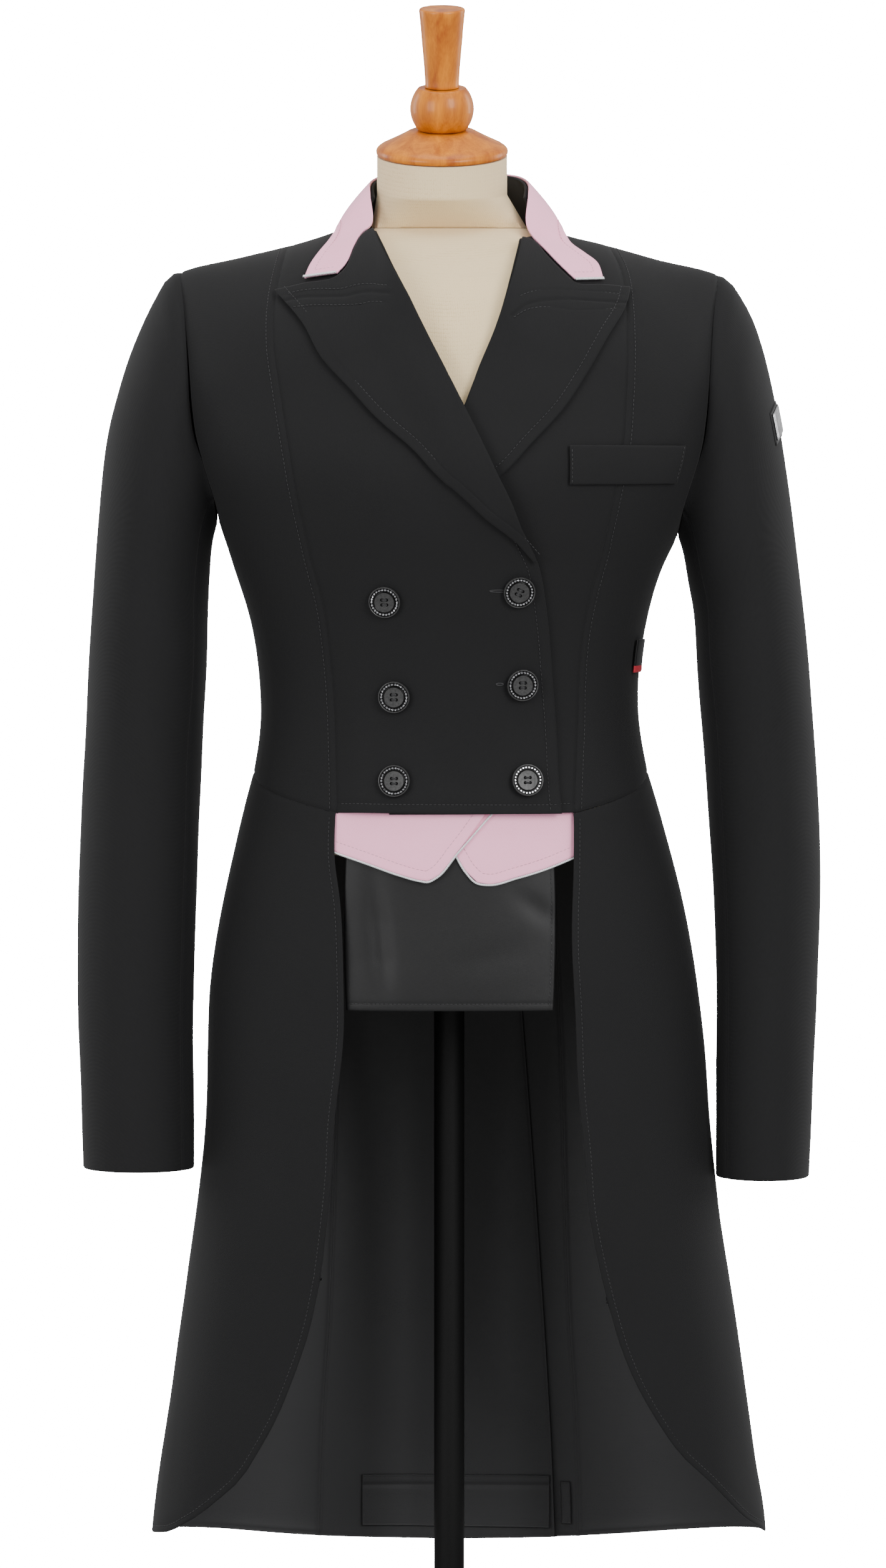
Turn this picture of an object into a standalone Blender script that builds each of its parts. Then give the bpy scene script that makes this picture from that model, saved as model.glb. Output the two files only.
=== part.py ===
"""Dressage tailcoat worn on a limbless dress form.

World frame: +Z up, the coat's front faces -Y, the wearer's left is +X.
The origin is the centre of the stand base's underside, on the floor.
Every panel is a grid of points on one body surface, walled with Solidify.
Tables are in millimetres, and everything else is in metres.
"""
import math

import bpy
import numpy as np
from mathutils import Matrix, Vector

MM = 0.001

# Driving dimensions
CLOTH = 1.8 * MM             # wall of the coat's cloth
THIN_CLOTH = 1.4 * MM        # wall of waistcoat points, flap and patches
SEAM = 0.24 * MM             # each panel stops this far short of its seam
SHOULDER_SEAM = 0.45 * MM    # the same at the shoulder, where walls meet in a ridge
SLEEVE_SEAM = 0.5 * MM       # the same along the sleeve
UNDERARM_SEAM = 1.2 * MM     # the same where the under sleeve meets the side panels
LAY = 1.1 * MM               # gap between a piece and the panel it lies on
LAPEL_RISE = CLOTH + LAY     # how far a lapel's face stands above its front
LAPEL_LIFT = {"right": 0.8 * MM, "left": 0}
OVERLAP_RISE = CLOTH + 1.3 * MM
LAP_FROM = 62 * MM           # the right front stands clear of the left one inside this
ROLL_BAND = 46 * MM          # beside the roll line it rises once more, from this far out
ROLL_RAMP = 30 * MM
ROLL_FOOT = 795 * MM         # that second rise fades out between these heights
ROLL_TOP = 1000 * MM
ROLL_FADE = 90 * MM
HEM_CENTRE = 58.5 * MM       # height of the tails' hem at the centre back
HEM_RISE = 22 * MM           # how much higher the hem is at the side tips
HEM_POWER = 2.5
WAIST_BACK = 640 * MM        # height of the waist seam at the side-back seams
WAIST_SIDE = 634 * MM
UNDERARM = {"right": 815 * MM, "left": 805 * MM}
SECTION_POWER = 2.3          # exponent of the superelliptic body sections
FRONT_FALL = 90 * MM         # the shoulder rounds over within this drop in front
BACK_FALL = 75 * MM
RIDGE_DEPTH = 6 * MM         # normals turn upright this near the shoulder line
RIDGE_LIFT = 0.02
ARM_STEPS = 10               # rows from the shoulder tip to the underarm
SIDE_STEPS = 7               # rows from the underarm to the waist
TAIL_STEPS = 14              # rows from the waist to the tail hem
BACK_ARM_STEP = 7            # the side-back seam leaves the armhole at this row
SLEEVE_SEAM_STEP = 8         # the sleeve's seams leave the armhole at this row
SLEEVE_STEPS = 15
SHOULDER_POWER = 1.7         # rows lie closer towards the rounded shoulder
ROLL_POWER = 1.4
BASE_RADIUS = 180 * MM
BASE_HEIGHT = 12 * MM
POLE_RADIUS = 11 * MM
NECK_TILT = math.radians(12)
SIGN = {"right": -1, "left": 1}


def table(columns, rows):
    """Give each named column of the rows as an array in metres."""
    values = np.array(rows, dtype=float) * MM
    return {name: values[:, i] for i, name in enumerate(columns.split())}


# Outer surface of the coat: reach to each side and depth before and behind
SECTIONS = table("height right left front back", (
    (50, 219, 233, 96, 118),
    (90, 216, 231, 96, 117),
    (136, 210, 223, 98, 115),
    (198, 201, 214, 100, 112),
    (266, 191, 204, 104, 112),
    (316, 184, 196, 107, 113),
    (380, 177, 189, 110, 115),
    (434, 176, 185, 113, 116),
    (488, 173, 179, 114, 113),
    (545, 163, 168, 111, 106),
    (605, 149, 152, 105, 96),
    (634, 142, 144, 101, 87),
    (672, 137, 138, 100, 78),
    (703, 138, 138, 103, 80),
    (742, 144, 143, 110, 88),
    (779, 155, 153, 119, 97),
    (815, 167, 170, 128, 105),
    (854, 187, 189, 132, 109),
    (896, 200, 201, 124, 110),
    (940, 208, 208, 112, 107),
    (980, 211, 211, 103, 98),
    (1030, 212, 212, 92, 84),
    (1080, 212, 212, 86, 78)))

# Height of the shoulder line at each distance from the centre
SHOULDER = table("across right left", (
    (0, 1075, 1075),
    (30, 1062, 1062),
    (50, 1036, 1036),
    (62, 1028, 1028),
    (84, 1021, 1021),
    (114, 1014, 1014),
    (153, 1005, 1003),
    (194, 995, 993),
    (215, 986, 984)))

# The armhole's reach as a share of the section's reach, from underarm to tip
ARMHOLE_RISE = np.array((0, 0.1, 0.22, 0.35, 0.45, 0.6, 0.85, 1.0))
ARMHOLE_SHARE = np.array((1, 0.965, 0.942, 0.935, 0.925, 0.91, 0.905, 0.918))
TIP_ACROSS = 194 * MM


def smooth(known, values, wanted):
    """Interpolate with cubic pieces whose slopes are finite differences."""
    slopes = np.gradient(values, known)
    index = np.clip(np.searchsorted(known, wanted) - 1, 0, len(known) - 2)
    width = known[index + 1] - known[index]
    t = np.clip((wanted - known[index]) / width, 0, 1)
    rise = values[index + 1] - values[index]
    start = slopes[index] * width
    end = slopes[index + 1] * width
    curve = start + t * (3 * rise - 2 * start - end + t * (start + end - 2 * rise))
    return values[index] + t * curve


def reach(side, height):
    return smooth(SECTIONS["height"], SECTIONS[side], height)


def shoulder_height(side, across):
    return smooth(SHOULDER["across"], SHOULDER[side], np.abs(across))


# Soft vertical folds of the hanging skirts: bearing, depth and spread
FOLDS = {
    "right": ((-0.95, 3.5, 0.20), (-1.95, -4.0, 0.24), (-2.45, 4.5, 0.22)),
    "left": ((0.98, 3.5, 0.18), (1.90, -4.0, 0.24), (2.50, 4.5, 0.22))}


def fold_swell(bearing, height):
    """Add bell-shaped swells round the skirts that grow towards the hem."""
    growth = np.clip((0.60 - height) / 0.50, 0, 1) ** 1.2
    swell = np.zeros_like(bearing)
    for folds in FOLDS.values():
        for middle, depth, spread in folds:
            swell = swell + depth * MM * np.exp(-((bearing - middle) / spread) ** 2)
    return growth * swell


def body(bearing, height):
    """Give points of the coat's outer surface.

    A bearing is measured from the front centre, positive to the wearer's left.
    The plan is a superellipse, and its depth shrinks to nothing at the shoulder line
    as the side view of a round does.
    """
    bearing, height = np.broadcast_arrays(np.asarray(bearing, float), np.asarray(height, float))
    sine = np.sin(bearing)
    cosine = np.cos(bearing)
    power = 2 / SECTION_POWER
    wide = np.where(sine < 0, reach("right", height), reach("left", height))
    across = np.sign(sine) * np.abs(sine) ** power * wide
    ahead = cosine >= 0
    deep = np.where(ahead, smooth(SECTIONS["height"], SECTIONS["front"], height),
                    smooth(SECTIONS["height"], SECTIONS["back"], height))
    top = np.where(sine < 0, shoulder_height("right", across), shoulder_height("left", across))
    drop = np.clip((top - height) / np.where(ahead, FRONT_FALL, BACK_FALL), 0, 1)
    rounding = np.sqrt(1 - (1 - drop) ** 2)
    along = -np.sign(cosine) * np.abs(cosine) ** power * deep * rounding
    out = 1 + fold_swell(bearing, height) / np.hypot(across, along).clip(0.02)
    return np.stack((across * out, along * out, height), axis=-1)


def front_bearing(across, height):
    """Give the bearing of front points from their place across the coat."""
    across = np.asarray(across, float)
    wide = np.where(across < 0, reach("right", height), reach("left", height))
    share = np.clip(np.abs(across) / wide, 0, 1) ** (SECTION_POWER / 2)
    return np.sign(across) * np.arcsin(share)


def back_bearing(side, across, height):
    """Give the bearing of back points, counted round from the given side."""
    return SIGN[side] * math.pi - front_bearing(across, height)


def trace(points, steps, start_power=1.0):
    """Sample a smooth curve through the points, with closer steps at its start."""
    points = np.array(points, dtype=float)
    lengths = np.concatenate(([0], np.cumsum(np.linalg.norm(np.diff(points, axis=0), axis=1))))
    at = np.linspace(0, 1, steps + 1) ** start_power * lengths[-1]
    return np.stack([smooth(lengths, points[:, i], at) for i in range(points.shape[1])], axis=-1)


def chain(*runs):
    """Join sampled runs whose ends meet."""
    return np.concatenate([runs[0]] + [run[1:] for run in runs[1:]])


def on_front(side, points, steps, start_power=1.0):
    """Sample a front line given as (distance from the centre, height) in millimetres."""
    line = trace(np.array(points) * MM, steps, start_power)
    return np.stack((front_bearing(SIGN[side] * line[:, 0], line[:, 1]), line[:, 1]), axis=-1)


def on_back(side, points, steps, start_power=1.0):
    line = trace(np.array(points) * MM, steps, start_power)
    return np.stack((back_bearing(side, SIGN[side] * line[:, 0], line[:, 1]), line[:, 1]), axis=-1)


def by_height(side, points, heights):
    """Sample a back line, given as (distance, height), at the wanted heights in metres."""
    points = np.array(points, dtype=float) * MM
    across = SIGN[side] * smooth(-points[:, 1], points[:, 0], -heights)
    return np.stack((back_bearing(side, across, heights), heights), axis=-1)


def span(first, last, steps):
    """Sample a straight run between two (bearing, height) points."""
    t = np.linspace(0, 1, steps + 1)[:, None]
    return (1 - t) * np.asarray(first) + t * np.asarray(last)


def patch(outer, inner, top, bottom):
    """Fill four (bearing, height) lines with a grid, each line blended into the next."""
    u = (outer[:, 1] - outer[0, 1]) / (outer[-1, 1] - outer[0, 1])
    u = (u + (inner[:, 1] - inner[0, 1]) / (inner[-1, 1] - inner[0, 1])) / 2
    v = np.linspace(0, 1, len(top))
    u = u[:, None, None]
    v = v[None, :, None]
    sides = (1 - v) * outer[:, None] + v * inner[:, None]
    ends = (1 - u) * top[None] + u * bottom[None]
    corners = ((1 - u) * ((1 - v) * outer[0] + v * inner[0])
               + u * ((1 - v) * outer[-1] + v * inner[-1]))
    return sides + ends - corners


def body_normals(plan):
    """Give the body's outward normals at (bearing, height) points.

    On the shoulder line the front and back share one upright normal.
    """
    bearing = plan[..., 0]
    height = plan[..., 1]
    turn = 0.004
    step = 0.5 * MM
    round_ = body(bearing + turn, height) - body(bearing - turn, height)
    rise = body(bearing, height + step) - body(bearing, height - step)
    normals = np.cross(round_, rise)
    normals /= np.linalg.norm(normals, axis=-1, keepdims=True).clip(1e-12)
    ridge = np.clip(np.abs(body(bearing, height)[..., 1]) / RIDGE_DEPTH, 0, 1)
    normals[..., 1] *= ridge
    normals[..., 2] += RIDGE_LIFT * (1 - ridge)
    return normals / np.linalg.norm(normals, axis=-1, keepdims=True)


def raised(plan, rise):
    """Give body points moved out along their normals by one rise or one a point."""
    return body(plan[..., 0], plan[..., 1]) + body_normals(plan) * np.asarray(rise)[..., None]


def pulled(edge, inside, gap):
    """Move an edge's points a short way towards the row inside it."""
    step = inside - edge
    return edge + gap * step / np.linalg.norm(step, axis=-1, keepdims=True).clip(1e-9)


def trimmed(grid, top_gap, side_gap):
    """Pull all four edges of a grid back towards its inside."""
    grid = grid.copy()
    grid[0] = pulled(grid[0], grid[1], top_gap)
    grid[-1] = pulled(grid[-1], grid[-2], SEAM)
    grid[:, 0] = pulled(grid[:, 0], grid[:, 1], side_gap)
    grid[:, -1] = pulled(grid[:, -1], grid[:, -2], side_gap)
    return grid


def material(name, colour, roughness, metallic=0.0):
    made = bpy.data.materials.new(name)
    made.use_nodes = True
    shader = made.node_tree.nodes["Principled BSDF"]
    shader.inputs["Base Color"].default_value = (*colour, 1)
    shader.inputs["Roughness"].default_value = roughness
    shader.inputs["Metallic"].default_value = metallic
    return made


def add_mesh(name, verts, faces, look):
    """Put a new mesh object with its material in the garment's collection."""
    mesh = bpy.data.meshes.new(name)
    mesh.from_pydata([tuple(v) for v in verts], [], faces)
    mesh.materials.append(look)
    mesh.shade_smooth()
    made = bpy.data.objects.new(name, mesh)
    GARMENT.objects.link(made)
    return made


def shell(name, grid, wall, look, normals, top_gap=SEAM, side_gap=SEAM):
    """Make a grid of outer points a cloth wall.

    The open surface runs through the middle of the wall, so that the cut edges of
    two panels stay apart where they meet at an angle.
    """
    rows, columns = grid.shape[:2]
    grid = trimmed(grid - normals * wall / 2, top_gap, side_gap)
    down = np.gradient(grid, axis=0)
    across = np.gradient(grid, axis=1)
    turned = np.sum(np.cross(down, across) * normals, axis=-1).mean() > 0
    faces = []
    for i in range(rows - 1):
        for j in range(columns - 1):
            corner = i * columns + j
            face = (corner, corner + columns, corner + columns + 1, corner + 1)
            faces.append(face if turned else face[::-1])
    made = add_mesh(name, grid.reshape(-1, 3), faces, look)
    walls = made.modifiers.new("wall", "SOLIDIFY")
    walls.thickness = wall
    walls.offset = 0
    walls.use_even_offset = True
    return made


def turned_piece(name, profile, steps, look):
    """Turn a (radius, height) profile in millimetres, listed top to bottom, round Z."""
    points = [(radius * MM, 0, height * MM) for radius, height in profile]
    edges = [(i, i + 1) for i in range(len(points) - 1)]
    mesh = bpy.data.meshes.new(name)
    mesh.from_pydata(points, edges, [])
    mesh.materials.append(look)
    made = bpy.data.objects.new(name, mesh)
    GARMENT.objects.link(made)
    screw = made.modifiers.new("turn", "SCREW")
    screw.steps = steps
    screw.render_steps = steps
    screw.use_merge_vertices = True
    screw.merge_threshold = 0.00001
    screw.use_smooth_shade = True
    return made


def cord_along(name, points, radius, look):
    """Lay a thin round cord with closed ends along the points."""
    data = bpy.data.curves.new(name, "CURVE")
    data.dimensions = "3D"
    data.bevel_depth = radius
    data.bevel_resolution = 1
    data.use_fill_caps = True
    spline = data.splines.new("POLY")
    spline.points.add(len(points) - 1)
    for target, point in zip(spline.points, points):
        target.co = (*point, 1)
    data.materials.append(look)
    made = bpy.data.objects.new(name, data)
    GARMENT.objects.link(made)
    return made


for old in list(bpy.data.objects):
    bpy.data.objects.remove(old)
GARMENT = bpy.data.collections.new("dressage_tailcoat")
bpy.context.scene.collection.children.link(GARMENT)

WOOL = material("charcoal_wool", (0.019, 0.019, 0.020), 0.85)
PINK = material("pink_cloth", (0.73, 0.54, 0.62), 0.8)
SATIN = material("black_satin", (0.02, 0.02, 0.021), 0.35)
SILVER_CORD = material("silver_cord", (0.66, 0.65, 0.66), 0.45, 0.3)
GUNMETAL = material("gunmetal", (0.10, 0.10, 0.10), 0.4, 0.8)
PLATE = material("dull_plate", (0.35, 0.35, 0.36), 0.4, 0.9)
WOOD = material("varnished_wood", (0.46, 0.20, 0.06), 0.3)
JERSEY = material("cream_jersey", (0.75, 0.70, 0.60), 0.85)
STEEL = material("black_steel", (0.02, 0.02, 0.02), 0.5, 0.6)

# Seam lines, as (distance from the centre, height)
PRINCESS = {
    "right": ((117, 1012.7), (120, 1001), (124, 982), (125.7, 945.5), (121, 910),
              (115, 873.7), (107.6, 829), (98.5, 787), (90, 754), (86, 723), (83, 689),
              (81.4, 652), (80.5, 609)),
    "left": ((116, 1013), (122.5, 998), (126.6, 971), (127.5, 945.5), (126.6, 908),
             (124.3, 873), (119.3, 844), (109, 794), (101.7, 767), (96.3, 740),
             (93, 704), (92.2, 668), (90.9, 638), (89.5, 609))}
SIDE_BACK = ((150, 848), (125, 828), (107, 804), (90, 765), (75, 710), (69, 672), (68, 640))
TAIL_SEAM = ((68, 640), (75, 560), (82, 450), (86, 300), (89, 217), (93, 157), (96, 65))
NECK_POINT = (75.5, 1023.7)
NECK_FRONT = {"right": (51, 1022), "left": (51, 1018.6)}


def armhole(side, step, back=False):
    """Give the bearing and height of the armhole at a step down from its tip."""
    tip = shoulder_height(side, TIP_ACROSS)
    rise = (1 + math.cos(math.pi * step / ARM_STEPS)) / 2
    height = UNDERARM[side] + (tip - UNDERARM[side]) * rise
    share = smooth(ARMHOLE_RISE, ARMHOLE_SHARE, np.array([rise]))[0]
    across = SIGN[side] * share * reach(side, np.array([height]))[0]
    if rise < 1e-6:
        return (SIGN[side] * math.pi / 2, height)
    if back:
        return (float(back_bearing(side, across, height)), height)
    return (float(front_bearing(across, height)), height)


def princess(side):
    """The seam from the shoulder to the waist, with a row at the underarm's height."""
    points = np.array(PRINCESS[side], float)
    low = UNDERARM[side] / MM
    across = np.interp(-low, -points[:, 1], points[:, 0])
    upper = [tuple(p) for p in points if p[1] > low + 3] + [(across, low)]
    lower = [(across, low)] + [tuple(p) for p in points if p[1] < low - 3]
    return chain(on_front(side, upper, ARM_STEPS, SHOULDER_POWER),
                 on_front(side, lower, SIDE_STEPS))


def shoulder_run(side, far, near, steps, back=False):
    """The shoulder seam between two distances from the centre."""
    across = np.linspace(far, near, steps + 1)
    height = shoulder_height(side, across)
    signed = SIGN[side] * across
    bearing = back_bearing(side, signed, height) if back else front_bearing(signed, height)
    return np.stack((bearing, height), axis=-1)


def side_front_grid(side):
    edge = SIGN[side] * math.pi / 2
    down = [armhole(side, k) for k in range(ARM_STEPS + 1)]
    outer = chain(np.array(down), span(down[-1], (edge, WAIST_SIDE), SIDE_STEPS))
    inner = princess(side)
    columns = 5
    top = shoulder_run(side, TIP_ACROSS, PRINCESS[side][0][0] * MM, columns)
    top[0] = outer[0]
    inner[0] = top[-1]
    return patch(outer, inner, top, span(outer[-1], inner[-1], columns))


# Roll line and edge of each front, in runs from the neck to the hem
ROLL = {
    "right": ((51, 1022), (48, 1016.5), (38.9, 998), (19, 956), (7.7, 933), (-9.5, 899),
              (-32, 854), (-44.3, 829), (-49.5, 815)),
    "left": ((51, 1018.6), (45.7, 998), (32, 953), (20.8, 926), (10.4, 899), (-8, 849),
             (-22, 805))}
FRONT_EDGE = {
    "right": ((-61.6, 790), (-64, 782), (-67, 764.5), (-69.7, 743), (-72.5, 707),
              (-75.5, 670), (-78, 624), (-79.5, 608)),
    "left": ((-28, 785), (-36, 755), (-41, 701), (-43, 608))}


def front_grid(side):
    outer = princess(side)
    edge = FRONT_EDGE[side]
    turn = (ROLL[side][-1], edge[0])
    inner = chain(on_front(side, ROLL[side], ARM_STEPS, ROLL_POWER), on_front(side, turn, 1),
                  on_front(side, edge, SIDE_STEPS - 1))
    shoulder_columns = 4
    neck_columns = 4
    seam = shoulder_run(side, PRINCESS[side][0][0] * MM, NECK_POINT[0] * MM, shoulder_columns)
    neck = on_front(side, (NECK_POINT, NECK_FRONT[side]), neck_columns)
    neck[0] = seam[-1]
    outer[0] = seam[0]
    inner[0] = neck[-1]
    bottom = span(outer[-1], inner[-1], shoulder_columns + neck_columns)
    return patch(outer, inner, chain(seam, neck), bottom)


def eased(t):
    """Turn an even 0 to 1 ramp into one with level ends."""
    return t * t * (3 - 2 * t)


def overlap_rise(grid):
    """How far the right front stands above the body where it laps over the left one.

    It rises from the princess seam to the lap, and once more beside the roll line,
    where the left lapel goes under it.
    """
    across = -body(grid[..., 0], grid[..., 1])[..., 0]
    height = grid[..., 1]
    seam = np.array(PRINCESS["right"], float) * MM
    start = np.interp(-height, -seam[:, 1], seam[:, 0])
    ramp = np.clip((start - across) / (start - LAP_FROM), 0, 1)
    roll = np.array(ROLL["right"] + FRONT_EDGE["right"], float) * MM
    edge = np.interp(-height, -roll[:, 1], roll[:, 0])
    near = np.clip((ROLL_BAND - (across - edge)) / ROLL_RAMP, 0, 1)
    band = np.clip((height - ROLL_FOOT) / ROLL_RAMP, 0, 1)
    band = band * np.clip((ROLL_TOP - height) / ROLL_FADE, 0, 1)
    return OVERLAP_RISE * (eased(ramp) + eased(near) * eased(band))


def hem_height(side, bearing):
    """The hem is lowest at the centre back and rises to the tips at the sides."""
    point = body(bearing, np.full_like(bearing, HEM_CENTRE))
    share = np.abs(point[..., 0]) / reach(side, np.array([HEM_CENTRE]))[0]
    return HEM_CENTRE + HEM_RISE * np.clip(share, 0, 1) ** HEM_POWER


def side_back_seam(side):
    start = armhole(side, BACK_ARM_STEP, True)
    lower = on_back(side, SIDE_BACK, 24)
    line = np.concatenate(([start], lower))
    weight = np.array((0.1, 1))     # rows go by height, and a little by bearing
    return trace(line * weight, SIDE_STEPS) / weight


def side_back_grid(side):
    edge = SIGN[side] * math.pi / 2
    steps = range(ARM_STEPS, BACK_ARM_STEP - 1, -1)
    top = np.array([armhole(side, k, True) for k in steps])
    outer = span(top[0], (edge, WAIST_SIDE), SIDE_STEPS)
    inner = side_back_seam(side)
    return patch(outer, inner, top, span(outer[-1], inner[-1], len(top) - 1))


TAIL_HEIGHTS = np.linspace(WAIST_BACK, HEM_CENTRE, TAIL_STEPS + 1)


def tail_seam(side):
    line = by_height(side, TAIL_SEAM, TAIL_HEIGHTS)
    line[-1, 1] = hem_height(side, line[-1:, 0])[0]
    return line


# The lapped vent: how far the right tail reaches past the centre back
VENT = ((0, 640), (16, 600), (49, 560), (54, 460), (60, 380), (68, 266), (76, 136), (79, 60))
VENT_GAP = 1.0 * MM         # room between the two tails where they lap
VENT_FROM = -30 * MM        # the right tail sinks behind the left one past here
VENT_RAMP = 24 * MM
VENT_TOP = 668 * MM
VENT_FADE = 25 * MM


def back_grid(side):
    """A back cut in one with its tail, from the shoulder to the hem."""
    down = np.array([armhole(side, k, True) for k in range(BACK_ARM_STEP + 1)])
    seam = side_back_seam(side)
    outer = chain(down, seam, tail_seam(side))
    centre_top = 1030
    upper = on_back(side, ((0, centre_top), (0, 866)), BACK_ARM_STEP, SHOULDER_POWER)
    lower = on_back(side, ((0, 866), (0, WAIST_BACK / MM)), SIDE_STEPS)
    edge = [(-across, height) for across, height in VENT]
    if side == "left":
        edge = [(0, height) for across, height in VENT]
    tail = by_height(side, edge, TAIL_HEIGHTS)
    inner = chain(upper, lower, tail)
    columns = 7
    shoulder_columns = 4
    shoulder = shoulder_run(side, TIP_ACROSS, NECK_POINT[0] * MM, shoulder_columns, True)
    neck_points = (NECK_POINT, (50, 1024), (25, 1028.5), (0, centre_top))
    neck = on_back(side, neck_points, columns - shoulder_columns)
    neck[0] = shoulder[-1]
    top = chain(shoulder, neck)
    top[0] = outer[0]
    bottom = span(outer[-1], inner[-1], columns)
    bottom[:, 1] = hem_height(side, bottom[:, 0])
    inner[-1] = bottom[-1]
    return patch(outer, inner, top, bottom)


def vent_drop(grid):
    """How far the right tail lies inside the left one beyond the centre back."""
    points = body(grid[..., 0], grid[..., 1])
    ramp = np.clip((points[..., 0] - VENT_FROM) / VENT_RAMP, 0, 1)
    band = np.clip((VENT_TOP - grid[..., 1]) / VENT_FADE, 0, 1)
    return -(CLOTH + VENT_GAP) * eased(ramp) * band


# Cutaway edge of each skirt: the upright run, then the rounded corner to the side tip
CUTAWAY = {
    "right": ((81.5, 609), (82, 578), (78, 546), (75.5, 490), (75.5, 450), (79, 414),
              (82, 388), (84.5, 347), (88, 312), (92.7, 275)),
    "left": ((89, 608), (88.5, 566), (87.3, 526), (90, 464), (92.2, 411), (96.3, 369),
             (100, 322), (105.8, 291), (113.9, 257))}
CORNER = {
    "right": ((92.7, 275), (101.7, 233), (112, 203), (124, 173), (138, 147), (148, 130),
              (162, 115), (181, 98), (203, 85.5)),
    "left": ((113.9, 257), (124.3, 222), (134.7, 197), (149, 171), (167, 144), (184, 126),
             (198, 110), (212, 97), (223, 89.5))}


def skirt_grid(side):
    """A skirt from the waist seam, with its front corner cut away in a round."""
    columns = 9
    hem_columns = 3
    outer = on_front(side, CUTAWAY[side], TAIL_STEPS)
    inner = tail_seam(side)
    edge = SIGN[side] * math.pi / 2
    corner = on_front(side, CORNER[side], columns - hem_columns - 1)
    tip = (edge, HEM_CENTRE + HEM_RISE)
    hem = span(tip, inner[-1], hem_columns)
    hem[:, 1] = hem_height(side, hem[:, 0])
    bottom = chain(corner, np.array((corner[-1], hem[0])), hem)
    front_half = span(outer[0], (edge, WAIST_SIDE), 5)
    top = chain(front_half, span((edge, WAIST_SIDE), inner[0], columns - 5))
    return patch(outer, inner, top, bottom)


SIDES = ("right", "left")
for side in SIDES:
    for piece, make in (("side_front", side_front_grid), ("front", front_grid),
                        ("side_back", side_back_grid), ("back", back_grid),
                        ("skirt", skirt_grid)):
        name = f"{piece}_{side}"
        plan = make(side)
        rise = np.zeros(plan.shape[:2])
        if name == "front_right":
            rise = overlap_rise(plan)
        if name == "back_right":
            rise = vent_drop(plan)
        top_gap = SEAM if piece in ("side_back", "skirt") else SHOULDER_SEAM
        shell(name, raised(plan, rise), CLOTH, WOOL, body_normals(plan), top_gap)

# Sleeve: outer and inner ends of each ring, half depth, and how far it swings back
SLEEVE = {
    "right": table("out_across out_height in_across in_height depth back", (
        (194, 995, 167, 815, 57, 0),
        (205, 989, 168, 812, 59, 0),
        (220.6, 958, 169.5, 807, 62, 0),
        (237, 914, 171, 800, 63, 0),
        (249.5, 858, 172.5, 785.5, 62, 0),
        (257.6, 758, 174.5, 736, 59, 0),
        (264, 653, 178, 654.5, 55, -3),
        (268, 559.5, 182, 564, 51, -8),
        (268.5, 465, 184.5, 469, 48, -13),
        (266.5, 396, 184.5, 401, 46, -16),
        (265, 348, 184.5, 348, 45, -18))),
    "left": table("out_across out_height in_across in_height depth back", (
        (194, 993, 166.5, 805, 57, 0),
        (205.7, 985, 167.5, 801, 59, 0),
        (220.6, 957, 169, 795, 62, 0),
        (233, 910, 170.5, 787, 63, 0),
        (245, 844, 173, 771, 62, 0),
        (257, 749, 178, 736, 59, 0),
        (265, 650, 184, 654.5, 55, -3),
        (269.4, 564, 190.5, 564, 51, -8),
        (266, 469, 193.5, 469, 48, -13),
        (263, 397, 193.5, 406, 46, -16),
        (261, 342, 193.5, 342, 45, -18)))}
CAP_SHARE = 0.3             # the cap takes its shape from the armhole down to here
ARM_ROUND = np.pi * np.arange(-ARM_STEPS, ARM_STEPS + 1) / ARM_STEPS


def sleeve_ring(side, down, turn):
    """Give sleeve points at a share down its length and a turn round from its outer side.

    A ring is an ellipse from the outer to the inner line, and positive turns go round
    the front.
    """
    down, turn = np.broadcast_arrays(np.asarray(down, float), np.asarray(turn, float))
    rings = SLEEVE[side]
    known = np.linspace(0, 1, len(rings["depth"]))
    at = {name: smooth(known, values, down) for name, values in rings.items()}
    inward = (1 - np.cos(turn)) / 2
    across = at["out_across"] + (at["in_across"] - at["out_across"]) * inward
    height = at["out_height"] + (at["in_height"] - at["out_height"]) * inward
    along = at["back"] - at["depth"] * np.sin(turn)
    return np.stack((SIGN[side] * across, along, height), axis=-1)


def armhole_misfit(side, turn):
    """Give how far the armhole lies from the sleeve's first ellipse, at each turn."""
    steps = np.abs(turn) * ARM_STEPS / np.pi
    plans = np.array([armhole(side, step, t < 0) for step, t in zip(steps, turn)])
    return body(plans[:, 0], plans[:, 1]) - sleeve_ring(side, 0, turn)


def sleeve_points(side, down, turn):
    """Give the sleeve's outer surface, whose cap starts in the armhole."""
    ring = sleeve_ring(side, down[:, None], turn[None])
    fade = np.clip(1 - down / CAP_SHARE, 0, 1) ** 1.5
    return ring + fade[:, None, None] * armhole_misfit(side, turn)[None]


def sleeve_normals(side, down, turn):
    """Give normals of the sleeve from small steps along it and round it."""
    step = 0.01
    turn_step = 0.05
    lower = sleeve_points(side, np.clip(down + step, 0, 1), turn)
    upper = sleeve_points(side, np.clip(down - step, 0, 1), turn)
    ahead = sleeve_points(side, down, turn + turn_step)
    behind = sleeve_points(side, down, turn - turn_step)
    normals = np.cross(ahead - behind, lower - upper) * SIGN[side]
    return normals / np.linalg.norm(normals, axis=-1, keepdims=True)


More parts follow.
